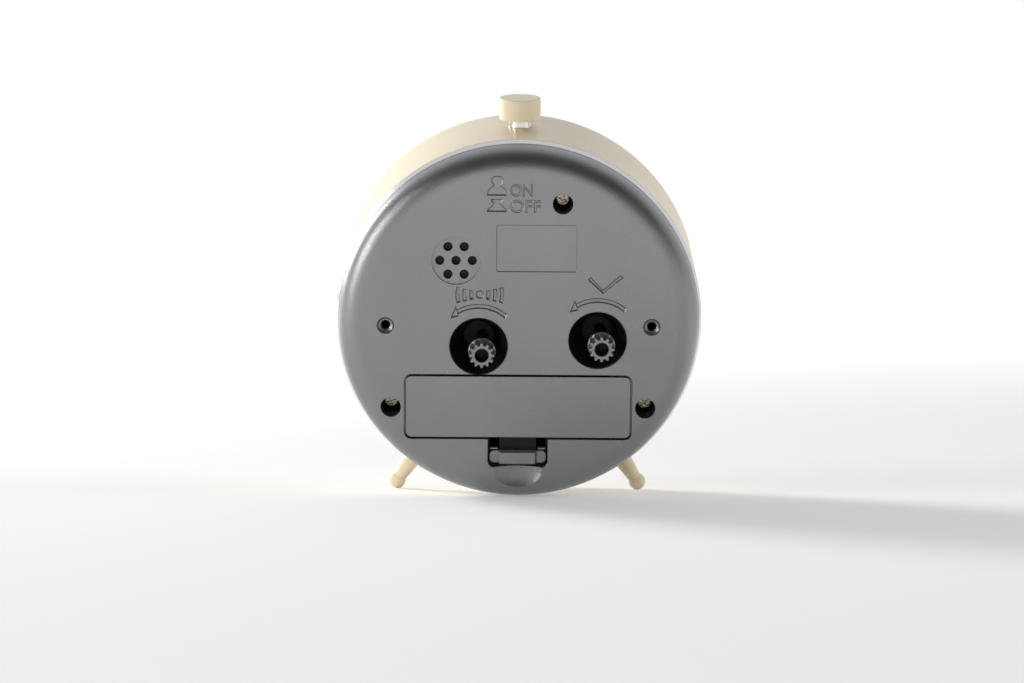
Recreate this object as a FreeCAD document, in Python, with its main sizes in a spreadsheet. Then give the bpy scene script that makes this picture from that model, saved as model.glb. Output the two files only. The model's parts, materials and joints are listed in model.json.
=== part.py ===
import FreeCAD
import Part
import Sketcher
import math
import os

# Round alarm clock that leans back on two turned legs and the lip of its back cover.
#
# Every piece is drawn on the bench: X to the right seen from the dial, Y up the clock,
# Z along its axis from the back (low) to the dial (high), with zero at the cover's lip.
# STAND then tilts the clock back onto the ground, with the dial facing -Y.

doc = FreeCAD.newDocument("alarm_clock")
sheet = doc.addObject("Spreadsheet::Sheet", "sizes")
finished = []


class Size:
    """A number together with the spreadsheet formula that gives it."""

    def __init__(self, number, formula):
        self.number = float(number)
        self.formula = formula

    def __add__(self, other):
        other = as_size(other)
        return Size(self.number + other.number, "(%s + %s)" % (self.formula, other.formula))

    def __sub__(self, other):
        other = as_size(other)
        return Size(self.number - other.number, "(%s - %s)" % (self.formula, other.formula))

    def __mul__(self, other):
        other = as_size(other)
        return Size(self.number * other.number, "(%s * %s)" % (self.formula, other.formula))

    def __truediv__(self, other):
        other = as_size(other)
        return Size(self.number / other.number, "(%s / %s)" % (self.formula, other.formula))

    def __neg__(self):
        return Size(-self.number, "(-1 * %s)" % self.formula)

    __radd__ = __add__
    __rmul__ = __mul__


def as_size(value):
    return value if isinstance(value, Size) else Size(value, "(%r)" % float(value))


def size(alias, number):
    """Writes one driving dimension into the sheet and reads it back."""
    size.row += 1
    sheet.set("A%d" % size.row, alias)
    sheet.set("B%d" % size.row, "%r" % number)
    sheet.setAlias("B%d" % size.row, alias)
    sheet.recompute()
    return Size(sheet.get(alias), "sizes." + alias)


size.row = 0
ZERO = as_size(0.0)


def trig(word, function, angle):
    return Size(function(math.radians(angle.number)), "%s(%s)" % (word, angle.formula))


def cosine(angle):
    return trig("cos", math.cos, angle)


def tangent(angle):
    return trig("tan", math.tan, angle)


def distance(x, y):
    formula = "sqrt(%s ^ 2 + %s ^ 2)" % (x.formula, y.formula)
    return Size(math.hypot(x.number, y.number), formula)


# Stance
lean = size("lean_angle", 12.0)
leg_angle = size("leg_angle", 33.0)
leg_station = size("leg_station", 22.0)

# Case
case_radius = size("case_radius", 50.0)
case_wall = size("case_wall", 0.9)
case_front = size("case_front", 38.6)
rim_round = size("rim_round", 1.2)
rim_width = size("rim_width", 3.8)
seam_gap = size("seam_gap", 0.3)
lens_thick = size("lens_thick", 1.8)
dial_depth = size("dial_depth", 7.1)
dial_thick = size("dial_thick", 0.6)
frame_thick = size("frame_thick", 1.6)
inner_play = size("inner_play", 0.3)

# Back cover
cover_wall = size("cover_wall", 1.8)
cover_rise = size("cover_rise", 8.0)
cover_set_in = size("cover_set_in", 0.9)
shoulder_round = size("shoulder_round", 6.4)
lip_thick = size("lip_thick", 1.0)
spigot_play = size("spigot_play", 0.2)
spigot_long = size("spigot_long", 4.0)
thin_wall = size("thin_wall", 1.2)

# Wells for the two setting knobs
alarm_well_x = size("alarm_well_x", 10.83)
alarm_well_y = size("alarm_well_y", -5.53)
time_well_x = size("time_well_x", -21.45)
time_well_y = size("time_well_y", -3.66)
well_mouth_radius = size("well_mouth_radius", 7.9)
well_floor_radius = size("well_floor_radius", 4.2)
well_deep = size("well_deep", 12.0)
well_to_bay = size("well_to_bay", 0.5)
knob_offset_x = size("knob_offset_x", -0.95)
knob_offset_y = size("knob_offset_y", -0.35)

# Setting knobs
knob_proud = size("knob_proud", 8.5)
knob_teeth = 12
knob_tip_radius = size("knob_tip_radius", 3.5)
knob_root_radius = size("knob_root_radius", 2.75)
knob_bore_radius = size("knob_bore_radius", 1.8)
knob_bore_deep = size("knob_bore_deep", 5.0)
knob_grip_long = size("knob_grip_long", 4.9)
collar_radius = size("collar_radius", 3.8)
collar_thick = size("collar_thick", 0.8)
knob_shaft_radius = size("knob_shaft_radius", 1.5)

# Small openings of the back cover
screw_top_x = size("screw_top_x", -11.7)
screw_top_y = size("screw_top_y", 34.1)
screw_to_bay = size("screw_to_bay", 0.9)
screw_low_y = size("screw_low_y", -22.7)
pocket_radius = size("pocket_radius", 2.7)
pocket_deep = size("pocket_deep", 8.5)
pocket_wall = size("pocket_wall", 1.2)
small_hole_x = size("small_hole_x", 36.1)
small_hole_y = size("small_hole_y", 0.2)
small_hole_radius = size("small_hole_radius", 1.1)
small_hole_sink = size("small_hole_sink", 2.15)
grille_x = size("grille_x", 17.0)
grille_y = size("grille_y", 18.3)
grille_radius = size("grille_radius", 6.7)
grille_sunk = size("grille_sunk", 0.5)
grille_hole_radius = size("grille_hole_radius", 1.15)
grille_pitch = size("grille_pitch", 4.4)

# Battery bay, door and latch
door_middle_y = size("door_middle_y", -22.5)
door_corner = size("door_corner", 2.0)
door_gap = size("door_gap", 0.5)
door_thick = size("door_thick", 1.5)
door_end_rest = size("door_end_rest", 2.05)
door_side_rest = size("door_side_rest", 1.5)
bay_play = size("bay_play", 0.5)
latch_wide = size("latch_wide", 16.3)
latch_tall = size("latch_tall", 8.0)
latch_deep = size("latch_deep", 3.6)
latch_corner = size("latch_corner", 1.7)
tongue_gap = size("tongue_gap", 0.7)
tongue_tall = size("tongue_tall", 3.6)
strip_wide = size("strip_wide", 10.0)
strip_thick = size("strip_thick", 0.4)
grip_wide = size("grip_wide", 10.3)
grip_tall = size("grip_tall", 4.0)
scoop_wide = size("scoop_wide", 13.3)
scoop_deep = size("scoop_deep", 1.8)
tab_x = size("tab_x", 22.0)
tab_wide = size("tab_wide", 5.0)
tab_long = size("tab_long", 1.4)
tab_thick = size("tab_thick", 1.0)
tab_play = size("tab_play", 0.3)
cell_radius = size("cell_radius", 7.1)
cell_long = size("cell_long", 49.2)
nub_radius = size("nub_radius", 2.75)
nub_long = size("nub_long", 1.3)
contact_thick = size("contact_thick", 0.4)
contact_side = size("contact_side", 11.0)
contact_spring_room = size("contact_spring_room", 6.7)
contact_spring_radius = size("contact_spring_radius", 3.55)
contact_wire = size("contact_wire", 0.6)
contact_spring_turns = 4

# Legs
leg_ball_radius = size("leg_ball_radius", 2.37)
leg_ankle_radius = size("leg_ankle_radius", 1.88)
leg_top_radius = size("leg_top_radius", 3.2)
foot_flat_radius = size("foot_flat_radius", 0.8)
stud_radius = size("stud_radius", 2.0)
stud_long = size("stud_long", 6.0)
hole_play = size("hole_play", 0.1)
nut_radius = size("nut_radius", 4.0)
nut_thick = size("nut_thick", 2.4)

# Alarm button
button_station = size("button_station", 20.0)
cap_radius = size("cap_radius", 5.7)
cap_tall = size("cap_tall", 5.9)
cap_above_case = size("cap_above_case", 2.1)
cap_round = size("cap_round", 0.5)
cap_bore_radius = size("cap_bore_radius", 3.6)
cap_bore_deep = size("cap_bore_deep", 3.1)
button_travel = size("button_travel", 1.8)
ferrule_base_radius = size("ferrule_base_radius", 3.2)
ferrule_top_radius = size("ferrule_top_radius", 2.85)
ferrule_neck_radius = size("ferrule_neck_radius", 2.4)
ferrule_neck_long = size("ferrule_neck_long", 4.2)
ferrule_above_case = size("ferrule_above_case", 2.9)
plunger_radius = size("plunger_radius", 1.5)
plunger_head_radius = size("plunger_head_radius", 2.2)
plunger_head_long = size("plunger_head_long", 1.6)
running_play = size("running_play", 0.05)
switch_wide = size("switch_wide", 8.0)
switch_top = size("switch_top", 40.0)
switch_low = size("switch_low", 29.5)
switch_back = size("switch_back", 15.6)
spring_room = size("spring_room", 5.6)
spring_wire = size("spring_wire", 0.4)
spring_turns = 6

# Speaker
speaker_radius = size("speaker_radius", 11.0)
speaker_thick = size("speaker_thick", 3.6)
speaker_magnet_radius = size("speaker_magnet_radius", 6.6)

# Case screws
screw_head_radius = size("screw_head_radius", 2.4)
screw_head_thick = size("screw_head_thick", 1.6)
screw_radius = size("screw_radius", 1.2)
screw_long = size("screw_long", 10.0)
post_radius = size("post_radius", 3.6)

# Clockwork housing
works_left = size("works_left", -30.0)
works_right = size("works_right", 22.0)
works_low = size("works_low", -12.0)
works_high = size("works_high", 28.0)
works_back = size("works_back", 7.0)
bush_radius = size("bush_radius", 4.0)
bush_above_nut = size("bush_above_nut", 0.2)
bush_nut_radius = size("bush_nut_radius", 6.2)
bush_nut_thick = size("bush_nut_thick", 1.2)

# Nested arbors of the four hands, from the inside out
arbor_radius = size("arbor_radius", 0.6)
tube_wall = size("tube_wall", 0.6)

# Hands
hand_step = size("hand_step", 0.9)
tip_width_share = 0.45
tail_width_share = 0.7
hand_thick = size("hand_thick", 0.3)
minute_long = size("minute_long", 36.0)
hour_long = size("hour_long", 25.0)
second_long = size("second_long", 38.0)
alarm_long = size("alarm_long", 17.0)
minute_half = size("minute_half", 1.3)
hour_half = size("hour_half", 1.7)
second_half = size("second_half", 0.45)
alarm_half = size("alarm_half", 0.7)
minute_tail = size("minute_tail", 7.0)
hour_tail = size("hour_tail", 6.0)
second_tail = size("second_tail", 10.0)
alarm_tail = size("alarm_tail", 3.0)
hand_hub_wall = size("hand_hub_wall", 1.2)
hour_turn = size("hour_turn", -304.5)
minute_turn = size("minute_turn", -54.0)
second_turn = size("second_turn", -210.0)
alarm_turn = size("alarm_turn", -195.0)

# Wheels: tooth counts are whole numbers, so they are plain values
alarm_pinion_teeth = 12
alarm_wheel_teeth = 34
set_wheel_teeth = 21
motion_wheel_teeth = 30
motion_pinion_teeth = 8
cannon_teeth = 10
hour_wheel_teeth = 32
rotor_teeth = 8
step_wheel_teeth = 40
step_pinion_teeth = 8
second_wheel_teeth = 48
second_pinion_teeth = 8
third_wheel_teeth = 60
third_pinion_teeth = 8
centre_wheel_teeth = 64
wheel_thick = size("wheel_thick", 0.9)
wheel_step = size("wheel_step", 2.4)
fine_module = size("fine_module", 0.3)
third_angle = 60.0
step_angle = 150.0
magnet_radius = size("magnet_radius", 2.6)
stator_thick = size("stator_thick", 1.0)
coil_radius = size("coil_radius", 3.2)
coil_long = size("coil_long", 20.0)
core_half = size("core_half", 1.0)
stator_reach = size("stator_reach", 5.2)
stator_side = size("stator_side", 4.2)
board_wide = size("board_wide", 14.0)
board_tall = size("board_tall", 22.0)
board_thick = size("board_thick", 1.0)
chip_radius = size("chip_radius", 3.0)
tooth_share = 0.4
root_spread = 1.35
tip_share = 0.2
grip_tooth_share = 0.75
addendum = 0.75
dedendum = 1.1

# Worked out from the sizes above
axis_height = case_radius * cosine(lean)
lens_front = case_front - case_wall
lens_back = lens_front - lens_thick
dial_front = lens_back - dial_depth
dial_back = dial_front - dial_thick
frame_back = dial_back - frame_thick
inner_radius = case_radius - case_wall
fill_radius = inner_radius - inner_play
rim_inner_radius = case_radius - rim_width
cover_face = -cover_rise
cover_inside = cover_face + cover_wall
cover_radius = case_radius - cover_set_in
spigot_radius = inner_radius - spigot_play
cover_hollow_radius = spigot_radius - cover_wall
pocket_floor = cover_face + pocket_deep
pocket_floor_under = pocket_floor + pocket_wall
alarm_knob_x = alarm_well_x + knob_offset_x
alarm_knob_y = alarm_well_y + knob_offset_y
time_knob_x = time_well_x + knob_offset_x
time_knob_y = time_well_y + knob_offset_y
knob_tip = cover_face - knob_proud
bay_long = cell_long + nub_long + contact_spring_room + contact_thick * 2
bay_tall = cell_radius * 2 + bay_play * 2
door_long = bay_long + door_end_rest * 2
door_tall = bay_tall + door_side_rest * 2
screw_low_x = bay_long / 2 + thin_wall + screw_to_bay + post_radius
door_top = door_middle_y + door_tall / 2
door_bottom = door_middle_y - door_tall / 2
bay_top = door_middle_y + bay_tall / 2
bay_bottom = door_middle_y - bay_tall / 2
hinge_y = door_top - door_gap - door_thick / 2
hinge_z = cover_face + door_thick / 2
cell_axis = cover_inside + inner_play + cell_radius
bay_floor = cell_axis + cell_radius + inner_play
works_inside_back = works_back + thin_wall
works_lid = frame_back - thin_wall
ball_rise = leg_ball_radius - foot_flat_radius * foot_flat_radius / (leg_ball_radius * 2)
leg_reach = (case_radius + leg_station * tangent(lean) - ball_rise / cosine(lean)) / cosine(leg_angle)

# The box of the whole clock is centred on the origin, front to back
front_overhang = (case_front - rim_round) * cosine(lean)
front_overhang = front_overhang + (case_radius - rim_round) * trig("sin", math.sin, lean) + rim_round
back_overhang = (shoulder_round - cover_rise) * cosine(lean) * -1
back_overhang = back_overhang + (cover_radius - shoulder_round) * trig("sin", math.sin, lean)
back_overhang = back_overhang + shoulder_round
axis_depth = (front_overhang - back_overhang) / 2

STAND = FreeCAD.Placement(
    FreeCAD.Vector(0, axis_depth.number, axis_height.number),
    FreeCAD.Rotation(FreeCAD.Vector(1, 0, 0), 90 - lean.number),
)


def bind(thing, prop, value):
    thing.setExpression(prop, as_size(value).formula)


def shift(x=0, y=0, z=0, turn=0):
    """A place on the bench, turned about the clock's axis direction."""
    spots = [as_size(value).number for value in (x, y, z)]
    rotation = FreeCAD.Rotation(FreeCAD.Vector(0, 0, 1), as_size(turn).number)
    return FreeCAD.Placement(FreeCAD.Vector(*spots), rotation)


def radial(x, y, z, angle):
    """A place whose own Z axis points away from the clock's axis, at an angle from straight down."""
    lay_down = FreeCAD.Rotation(FreeCAD.Vector(1, 0, 0), 90)
    swing = FreeCAD.Rotation(FreeCAD.Vector(0, 0, 1), angle)
    spots = [as_size(value).number for value in (x, y, z)]
    return FreeCAD.Placement(FreeCAD.Vector(*spots), swing.multiply(lay_down))


def keep(thing, label, placement=None):
    """Labels a finished sub-part and stands it on the ground."""
    thing.Label = label
    thing.Placement = STAND.multiply(placement) if placement else STAND
    finished.append(thing)
    return thing


def sketch_on(body, role, name, lift=None):
    sketch = body.newObject("Sketcher::SketchObject", name)
    plane = [feature for feature in body.Origin.OriginFeatures if feature.Role == role][0]
    sketch.AttachmentSupport = [(plane, "")]
    sketch.MapMode = "FlatFace"
    if lift is not None:
        bind(sketch, "AttachmentOffset.Base.z", lift)
    return sketch


def pin_point(sketch, geometry, point, x, y):
    for kind, value in (("DistanceX", x), ("DistanceY", y)):
        value = as_size(value)
        index = sketch.addConstraint(Sketcher.Constraint(kind, -1, 1, geometry, point, value.number))
        sketch.setExpression("Constraints[%d]" % index, value.formula)


def draw_outline(sketch, points):
    """A closed outline of straight sides, each corner held by its two sizes."""
    first = sketch.GeometryCount
    spots = [FreeCAD.Vector(as_size(x).number, as_size(y).number, 0) for x, y in points]
    count = len(spots)
    for index, spot in enumerate(spots):
        sketch.addGeometry(Part.LineSegment(spot, spots[(index + 1) % count]), False)
    for index in range(count):
        following = first + (index + 1) % count
        sketch.addConstraint(Sketcher.Constraint("Coincident", first + index, 2, following, 1))
    for index, (x, y) in enumerate(points):
        pin_point(sketch, first + index, 1, x, y)


def draw_circle(sketch, x, y, radius):
    centre = FreeCAD.Vector(as_size(x).number, as_size(y).number, 0)
    circle = Part.Circle(centre, FreeCAD.Vector(0, 0, 1), as_size(radius).number)
    geometry = sketch.addGeometry(circle, False)
    pin_point(sketch, geometry, 3, x, y)
    index = sketch.addConstraint(Sketcher.Constraint("Radius", geometry, as_size(radius).number))
    sketch.setExpression("Constraints[%d]" % index, as_size(radius).formula)


def turned(name, points):
    """A body turned about Z from (radius, height) corners."""
    body = doc.addObject("PartDesign::Body", name)
    sketch = sketch_on(body, "XZ_Plane", name + "_profile")
    draw_outline(sketch, points)
    turn = body.newObject("PartDesign::Revolution", name + "_turn")
    turn.Profile = sketch
    turn.ReferenceAxis = (sketch, ["V_Axis"])
    turn.Angle = 360
    body.Tip = turn
    doc.recompute()
    return body


def rectangle(left, right, low, high):
    return [(left, low), (right, low), (right, high), (left, high)]


def padded(name, points, low, high, circles=()):
    """A body raised from an outline in the plane of the dial, with round holes."""
    body = doc.addObject("PartDesign::Body", name)
    sketch = sketch_on(body, "XY_Plane", name + "_outline", low)
    if points:
        draw_outline(sketch, points)
    for x, y, radius in circles:
        draw_circle(sketch, x, y, radius)
    pad = body.newObject("PartDesign::Pad", name + "_pad")
    pad.Profile = sketch
    bind(pad, "Length", as_size(high) - low)
    body.Tip = pad
    doc.recompute()
    return body


def edge_names(shape, wanted):
    return ["Edge%d" % (i + 1) for i, edge in enumerate(shape.Edges) if wanted(edge)]


def round_edges(body, name, radius, wanted):
    """Rounds the body's edges that the test picks out."""
    rounded = body.newObject("PartDesign::Fillet", name)
    base = body.Group[-2]
    rounded.Base = (base, edge_names(base.Shape, wanted))
    bind(rounded, "Radius", radius)
    body.Tip = rounded
    doc.recompute()
    return rounded


def along_axis(edge):
    """Tells a straight edge that runs along the clock's axis."""
    if not isinstance(edge.Curve, Part.Line):
        return False
    return abs(edge.Curve.Direction.z) > 0.99


def ring_at(radius, height):
    """Makes a test for the circular edge of a turned body at a radius and height."""
    def wanted(edge):
        if not isinstance(edge.Curve, Part.Circle):
            return False
        near_radius = abs(edge.Curve.Radius - as_size(radius).number) < 0.01
        return near_radius and abs(edge.Curve.Center.z - as_size(height).number) < 0.01
    return wanted


def cylinder(name, x, y, low, high, radius):
    rod = doc.addObject("Part::Cylinder", name)
    bind(rod, "Radius", radius)
    bind(rod, "Height", as_size(high) - low)
    for letter, value in (("x", x), ("y", y), ("z", low)):
        bind(rod, "Placement.Base." + letter, value)
    return rod


def cone(name, x, y, low, high, low_radius, high_radius):
    taper = doc.addObject("Part::Cone", name)
    bind(taper, "Radius1", low_radius)
    bind(taper, "Radius2", high_radius)
    bind(taper, "Height", as_size(high) - low)
    for letter, value in (("x", x), ("y", y), ("z", low)):
        bind(taper, "Placement.Base." + letter, value)
    return taper


def block(name, left, right, low, high, back, front):
    box = doc.addObject("Part::Box", name)
    spans = (("Length", "x", left, right), ("Width", "y", low, high), ("Height", "z", back, front))
    for prop, letter, start, end in spans:
        bind(box, prop, as_size(end) - start)
        bind(box, "Placement.Base." + letter, start)
    return box


def fuse(name, pieces):
    joined = doc.addObject("Part::MultiFuse", name)
    joined.Shapes = pieces
    return joined


def cut(name, base, tools):
    tool = tools[0] if len(tools) == 1 else fuse(name + "_tools", tools)
    rest = doc.addObject("Part::Cut", name)
    rest.Base = base
    rest.Tool = tool
    return rest


def feature(name, shape, label, placement=None):
    """A sub-part whose shape is worked out directly, such as a toothed wheel or a coil."""
    thing = doc.addObject("Part::Feature", name)
    thing.Shape = shape
    return keep(thing, label, placement)


def rod_shape(radius, low, high):
    base = FreeCAD.Vector(0, 0, as_size(low).number)
    return Part.makeCylinder(as_size(radius).number, as_size(high).number - base.z, base)


# Case, glass and dial

def make_case():
    radius = case_radius
    shell = turned("case_shell", [
        (radius, lip_thick + seam_gap),
        (radius, case_front),
        (rim_inner_radius, case_front),
        (rim_inner_radius, lens_front),
        (inner_radius, lens_front),
        (inner_radius, lip_thick + seam_gap),
    ])
    round_edges(shell, "case_rim_round", rim_round, ring_at(case_radius, case_front))
    tools = []
    for side, angle in (("left", -leg_angle.number), ("right", leg_angle.number)):
        hole = cylinder("leg_hole_" + side, 0, 0, 0, case_radius * 2, stud_radius + hole_play)
        hole.setExpression("Placement.Base.z", None)
        hole.Placement = radial(0, 0, leg_station, angle)
        tools.append(hole)
    hole = cylinder("button_hole", 0, 0, 0, case_radius * 2, ferrule_neck_radius + hole_play)
    hole.setExpression("Placement.Base.z", None)
    hole.Placement = radial(0, 0, button_station, 180)
    tools.append(hole)
    keep(cut("case_drum", shell, tools), "case_drum")


def make_front():
    lens = turned("lens", [
        (ZERO, lens_back), (fill_radius, lens_back), (fill_radius, lens_front), (ZERO, lens_front),
    ])
    keep(lens, "lens")
    ring = turned("dial_ring", [
        (fill_radius, dial_front),
        (fill_radius, lens_back),
        (rim_inner_radius + inner_play, lens_back),
        (rim_inner_radius - thin_wall, dial_front),
    ])
    keep(ring, "dial_ring")
    hole = bush_radius + hole_play
    plate = padded("dial_plate", [], dial_back, dial_front, [(0, 0, fill_radius), (0, 0, hole)])
    keep(plate, "dial_plate")


def screw_spots():
    return [(screw_top_x, screw_top_y), (screw_low_x, screw_low_y), (-screw_low_x, screw_low_y)]


def make_frame():
    """The plate behind the dial, with three posts that reach back to the cover."""
    hole = bush_radius + hole_play
    plate = padded("frame_plate", [], frame_back, dial_back, [(0, 0, fill_radius), (0, 0, hole)])
    posts = []
    pilots = []
    for index, (x, y) in enumerate(screw_spots()):
        posts.append(cylinder("post_%d" % index, x, y, pocket_floor_under, frame_back, post_radius))
        pilot_end = pocket_floor + screw_long + inner_play
        pilot_radius = screw_radius + running_play
        pilots.append(cylinder("pilot_%d" % index, x, y, pocket_floor, pilot_end, pilot_radius))
    keep(cut("inner_frame", fuse("frame_with_posts", [plate] + posts), pilots), "inner_frame")


# Back cover

def well_cone(name, x, y, wall):
    """A well's cone, drawn out past the face so that a cut leaves no skin."""
    slope = (well_mouth_radius - well_floor_radius) / well_deep
    mouth = well_mouth_radius + wall + slope
    return cone(name, x, y, cover_face - 1, cover_face + well_deep, mouth, well_floor_radius + wall)


def make_cover():
    shell = turned("cover_shell", [
        (ZERO, cover_face),
        (cover_radius, cover_face),
        (cover_radius, ZERO),
        (case_radius, ZERO),
        (case_radius, lip_thick),
        (spigot_radius, lip_thick),
        (spigot_radius, lip_thick + spigot_long),
        (cover_hollow_radius, lip_thick + spigot_long),
        (cover_hollow_radius, cover_inside),
        (ZERO, cover_inside),
    ])
    round_edges(shell, "shoulder", shoulder_round, ring_at(cover_radius, cover_face))
    inside_round = shoulder_round - cover_wall
    round_edges(shell, "shoulder_inside", inside_round, ring_at(cover_hollow_radius, cover_inside))

    added = [shell]
    wells = (("alarm", alarm_well_x, alarm_well_y), ("time", time_well_x, time_well_y))
    for word, x, y in wells:
        bush = well_cone(word + "_well_wall", x, y, thin_wall)
        skin = block(word + "_well_trim", -case_radius, case_radius, -case_radius, case_radius,
                     cover_face - well_deep, cover_face)
        added.append(cut(word + "_well_bush", bush, [skin]))
    for index, (x, y) in enumerate(screw_spots()):
        tube_radius = pocket_radius + pocket_wall
        added.append(cylinder("pocket_tube_%d" % index, x, y, cover_inside, pocket_floor_under, tube_radius))
    half_long = bay_long / 2 + thin_wall
    added.append(block("bay_box", -half_long, half_long, bay_bottom - thin_wall, bay_top + thin_wall,
                       cover_inside, bay_floor + thin_wall))
    ledge_long = door_long / 2 + thin_wall
    added.append(block("door_ledge", -ledge_long, ledge_long, door_bottom - thin_wall,
                       door_top + thin_wall, cover_inside, cover_inside + thin_wall))
    latch_half = latch_wide / 2
    latch_low = door_bottom - latch_tall
    latch_floor = cover_face + latch_deep
    added.append(block("latch_box", -latch_half - thin_wall, latch_half + thin_wall,
                       latch_low - thin_wall, door_bottom, cover_inside, latch_floor + thin_wall))
    seat_outer = cylinder("speaker_seat_outer", grille_x, grille_y, cover_inside,
                          cover_inside + speaker_thick, speaker_radius + hole_play + thin_wall)
    seat_inner = cylinder("speaker_seat_inner", grille_x, grille_y, cover_inside,
                          cover_inside + speaker_thick, speaker_radius + hole_play)
    added.append(cut("speaker_seat", seat_outer, [seat_inner]))

    tools = []
    for word, x, y in wells:
        hollow = well_cone(word + "_well_hollow", x, y, ZERO)
        stop = block(word + "_well_stop", -case_radius, case_radius, -case_radius,
                     door_top + well_to_bay, cover_face - well_deep, cover_face + well_deep * 2)
        tools.append(cut(word + "_well_cut", hollow, [stop]))
        tools.append(cylinder(word + "_well_end", x, y, cover_face + well_deep - 1,
                              cover_face + well_deep + 1, well_floor_radius))
    for index, (x, y) in enumerate(screw_spots()):
        tools.append(cylinder("pocket_%d" % index, x, y, cover_face - 1, pocket_floor, pocket_radius))
        tools.append(cylinder("pocket_hole_%d" % index, x, y, pocket_floor - 1, pocket_floor_under + 1,
                              screw_radius + inner_play))
    for side in (-1, 1):
        x = small_hole_x * side
        tools.append(cylinder("small_hole_%d" % (side + 1), x, small_hole_y, cover_face - 1,
                              cover_inside + 1, small_hole_radius))
        rise = small_hole_sink - small_hole_radius
        tools.append(cone("small_sink_%d" % (side + 1), x, small_hole_y, cover_face,
                          cover_face + rise, small_hole_sink, small_hole_radius))
    tools.append(cylinder("grille_disc", grille_x, grille_y, cover_face - 1,
                          cover_face + grille_sunk, grille_radius))
    tools.append(cylinder("grille_hole_0", grille_x, grille_y, cover_face - 1,
                          cover_inside + 1, grille_hole_radius))
    for step in range(6):
        angle = math.radians(60 * step)
        tools.append(cylinder("grille_hole_%d" % (step + 1), grille_x + grille_pitch * math.cos(angle),
                              grille_y + grille_pitch * math.sin(angle), cover_face - 1,
                              cover_inside + 1, grille_hole_radius))
    tools.append(block("bay_hollow", -bay_long / 2, bay_long / 2, bay_bottom, bay_top,
                       cover_face - 1, bay_floor))
    opening = padded("door_opening", rectangle(-door_long / 2, door_long / 2, door_bottom, door_top),
                     cover_face - 1, cover_inside)
    round_edges(opening, "door_opening_round", door_corner, along_axis)
    tools.append(opening)
    latch = padded("latch_pocket", rectangle(-latch_half, latch_half, latch_low, door_bottom + door_corner),
                   cover_face - 1, latch_floor)
    round_edges(latch, "latch_pocket_round", latch_corner,
                lambda edge: along_axis(edge) and edge.BoundBox.YMax < door_bottom.number)
    tools.append(latch)
    tools.append(block("latch_bridge", -latch_half, latch_half, bay_bottom - thin_wall * 2, bay_bottom + 1,
                       cover_inside, latch_floor))
    window_half = tab_wide / 2 + tab_play
    for side in (-1, 1):
        middle = tab_x * side
        tools.append(block("tab_window_%d" % (side + 1), middle - window_half, middle + window_half,
                           bay_top - 1, door_top + tab_long, cover_inside,
                           cover_face + door_thick * 2 + tab_long))
    scoop_radius = (scoop_wide * scoop_wide / 4 + scoop_deep * scoop_deep) / (scoop_deep * 2)
    scoop = doc.addObject("Part::Sphere", "finger_scoop")
    bind(scoop, "Radius", scoop_radius)
    bind(scoop, "Placement.Base.y", latch_low)
    bind(scoop, "Placement.Base.z", cover_face - scoop_radius + scoop_deep)
    tools.append(scoop)
    keep(cut("back_cover", fuse("cover_solid", added), tools), "back_cover")


def make_door():
    """The door panel, rounded about its hinge line, with two hooks and a tongue on a thin spring strip."""
    half_long = door_long / 2 - door_gap
    top = door_top - door_gap
    bottom = door_bottom + door_gap
    inside = cover_face + door_thick
    panel = padded("door_panel", rectangle(-half_long, half_long, bottom, top), cover_face, inside)
    corner = door_corner - door_gap
    round_edges(panel, "door_panel_round", corner, along_axis)
    square_edge = block("door_square_edge", corner - half_long, half_long - corner, hinge_y, top,
                        cover_face, inside)
    hinge_edge = cylinder("door_hinge_edge", 0, 0, 0, (half_long - corner) * 2, door_thick / 2)
    for letter in "xyz":
        hinge_edge.setExpression("Placement.Base." + letter, None)
    hinge_edge.Placement = across(corner - half_long, hinge_y, hinge_z)
    pieces = [cut("door_plate", panel, [square_edge]), hinge_edge]
    hook_back = cover_inside + tab_play
    hook_front = hook_back + tab_thick
    hook_half = tab_wide / 2
    for side in (-1, 1):
        middle = tab_x * side
        pieces.append(block("hook_root_%d" % (side + 1), middle - hook_half, middle + hook_half,
                            top - door_thick, top, hinge_z, hook_front))
        pieces.append(block("hook_end_%d" % (side + 1), middle - hook_half, middle + hook_half,
                            top, top + tab_long, hook_back, hook_front))
    tongue_half = latch_wide / 2 - tongue_gap
    tongue_low = door_bottom - latch_tall + tongue_gap
    tongue_top = tongue_low + tongue_tall
    tongue_back = inside + door_thick
    pieces.append(block("tongue_root", -tongue_half, tongue_half, bottom, bottom + tab_thick,
                        inside, tongue_back))
    pieces.append(block("tongue_strip", -strip_wide / 2, strip_wide / 2, tongue_top - door_gap,
                        bottom + tab_thick, tongue_back - strip_thick, tongue_back))
    pieces.append(block("tongue_plate", -tongue_half, tongue_half, tongue_low, tongue_top,
                        inside + door_gap, tongue_back))
    grip = padded("tongue_grip", rectangle(-grip_wide / 2, grip_wide / 2, tongue_low, tongue_low + grip_tall),
                  cover_face + door_gap, inside + door_gap)
    round_edges(grip, "tongue_grip_round", door_gap, along_axis)
    pieces.append(grip)
    keep(fuse("battery_door", pieces), "battery_door")


# Battery and its contacts

def across(x, y, z):
    """A place whose own Z axis runs along the clock's X axis."""
    spots = [as_size(value).number for value in (x, y, z)]
    return FreeCAD.Placement(FreeCAD.Vector(*spots), FreeCAD.Rotation(FreeCAD.Vector(0, 1, 0), 90))


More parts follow.
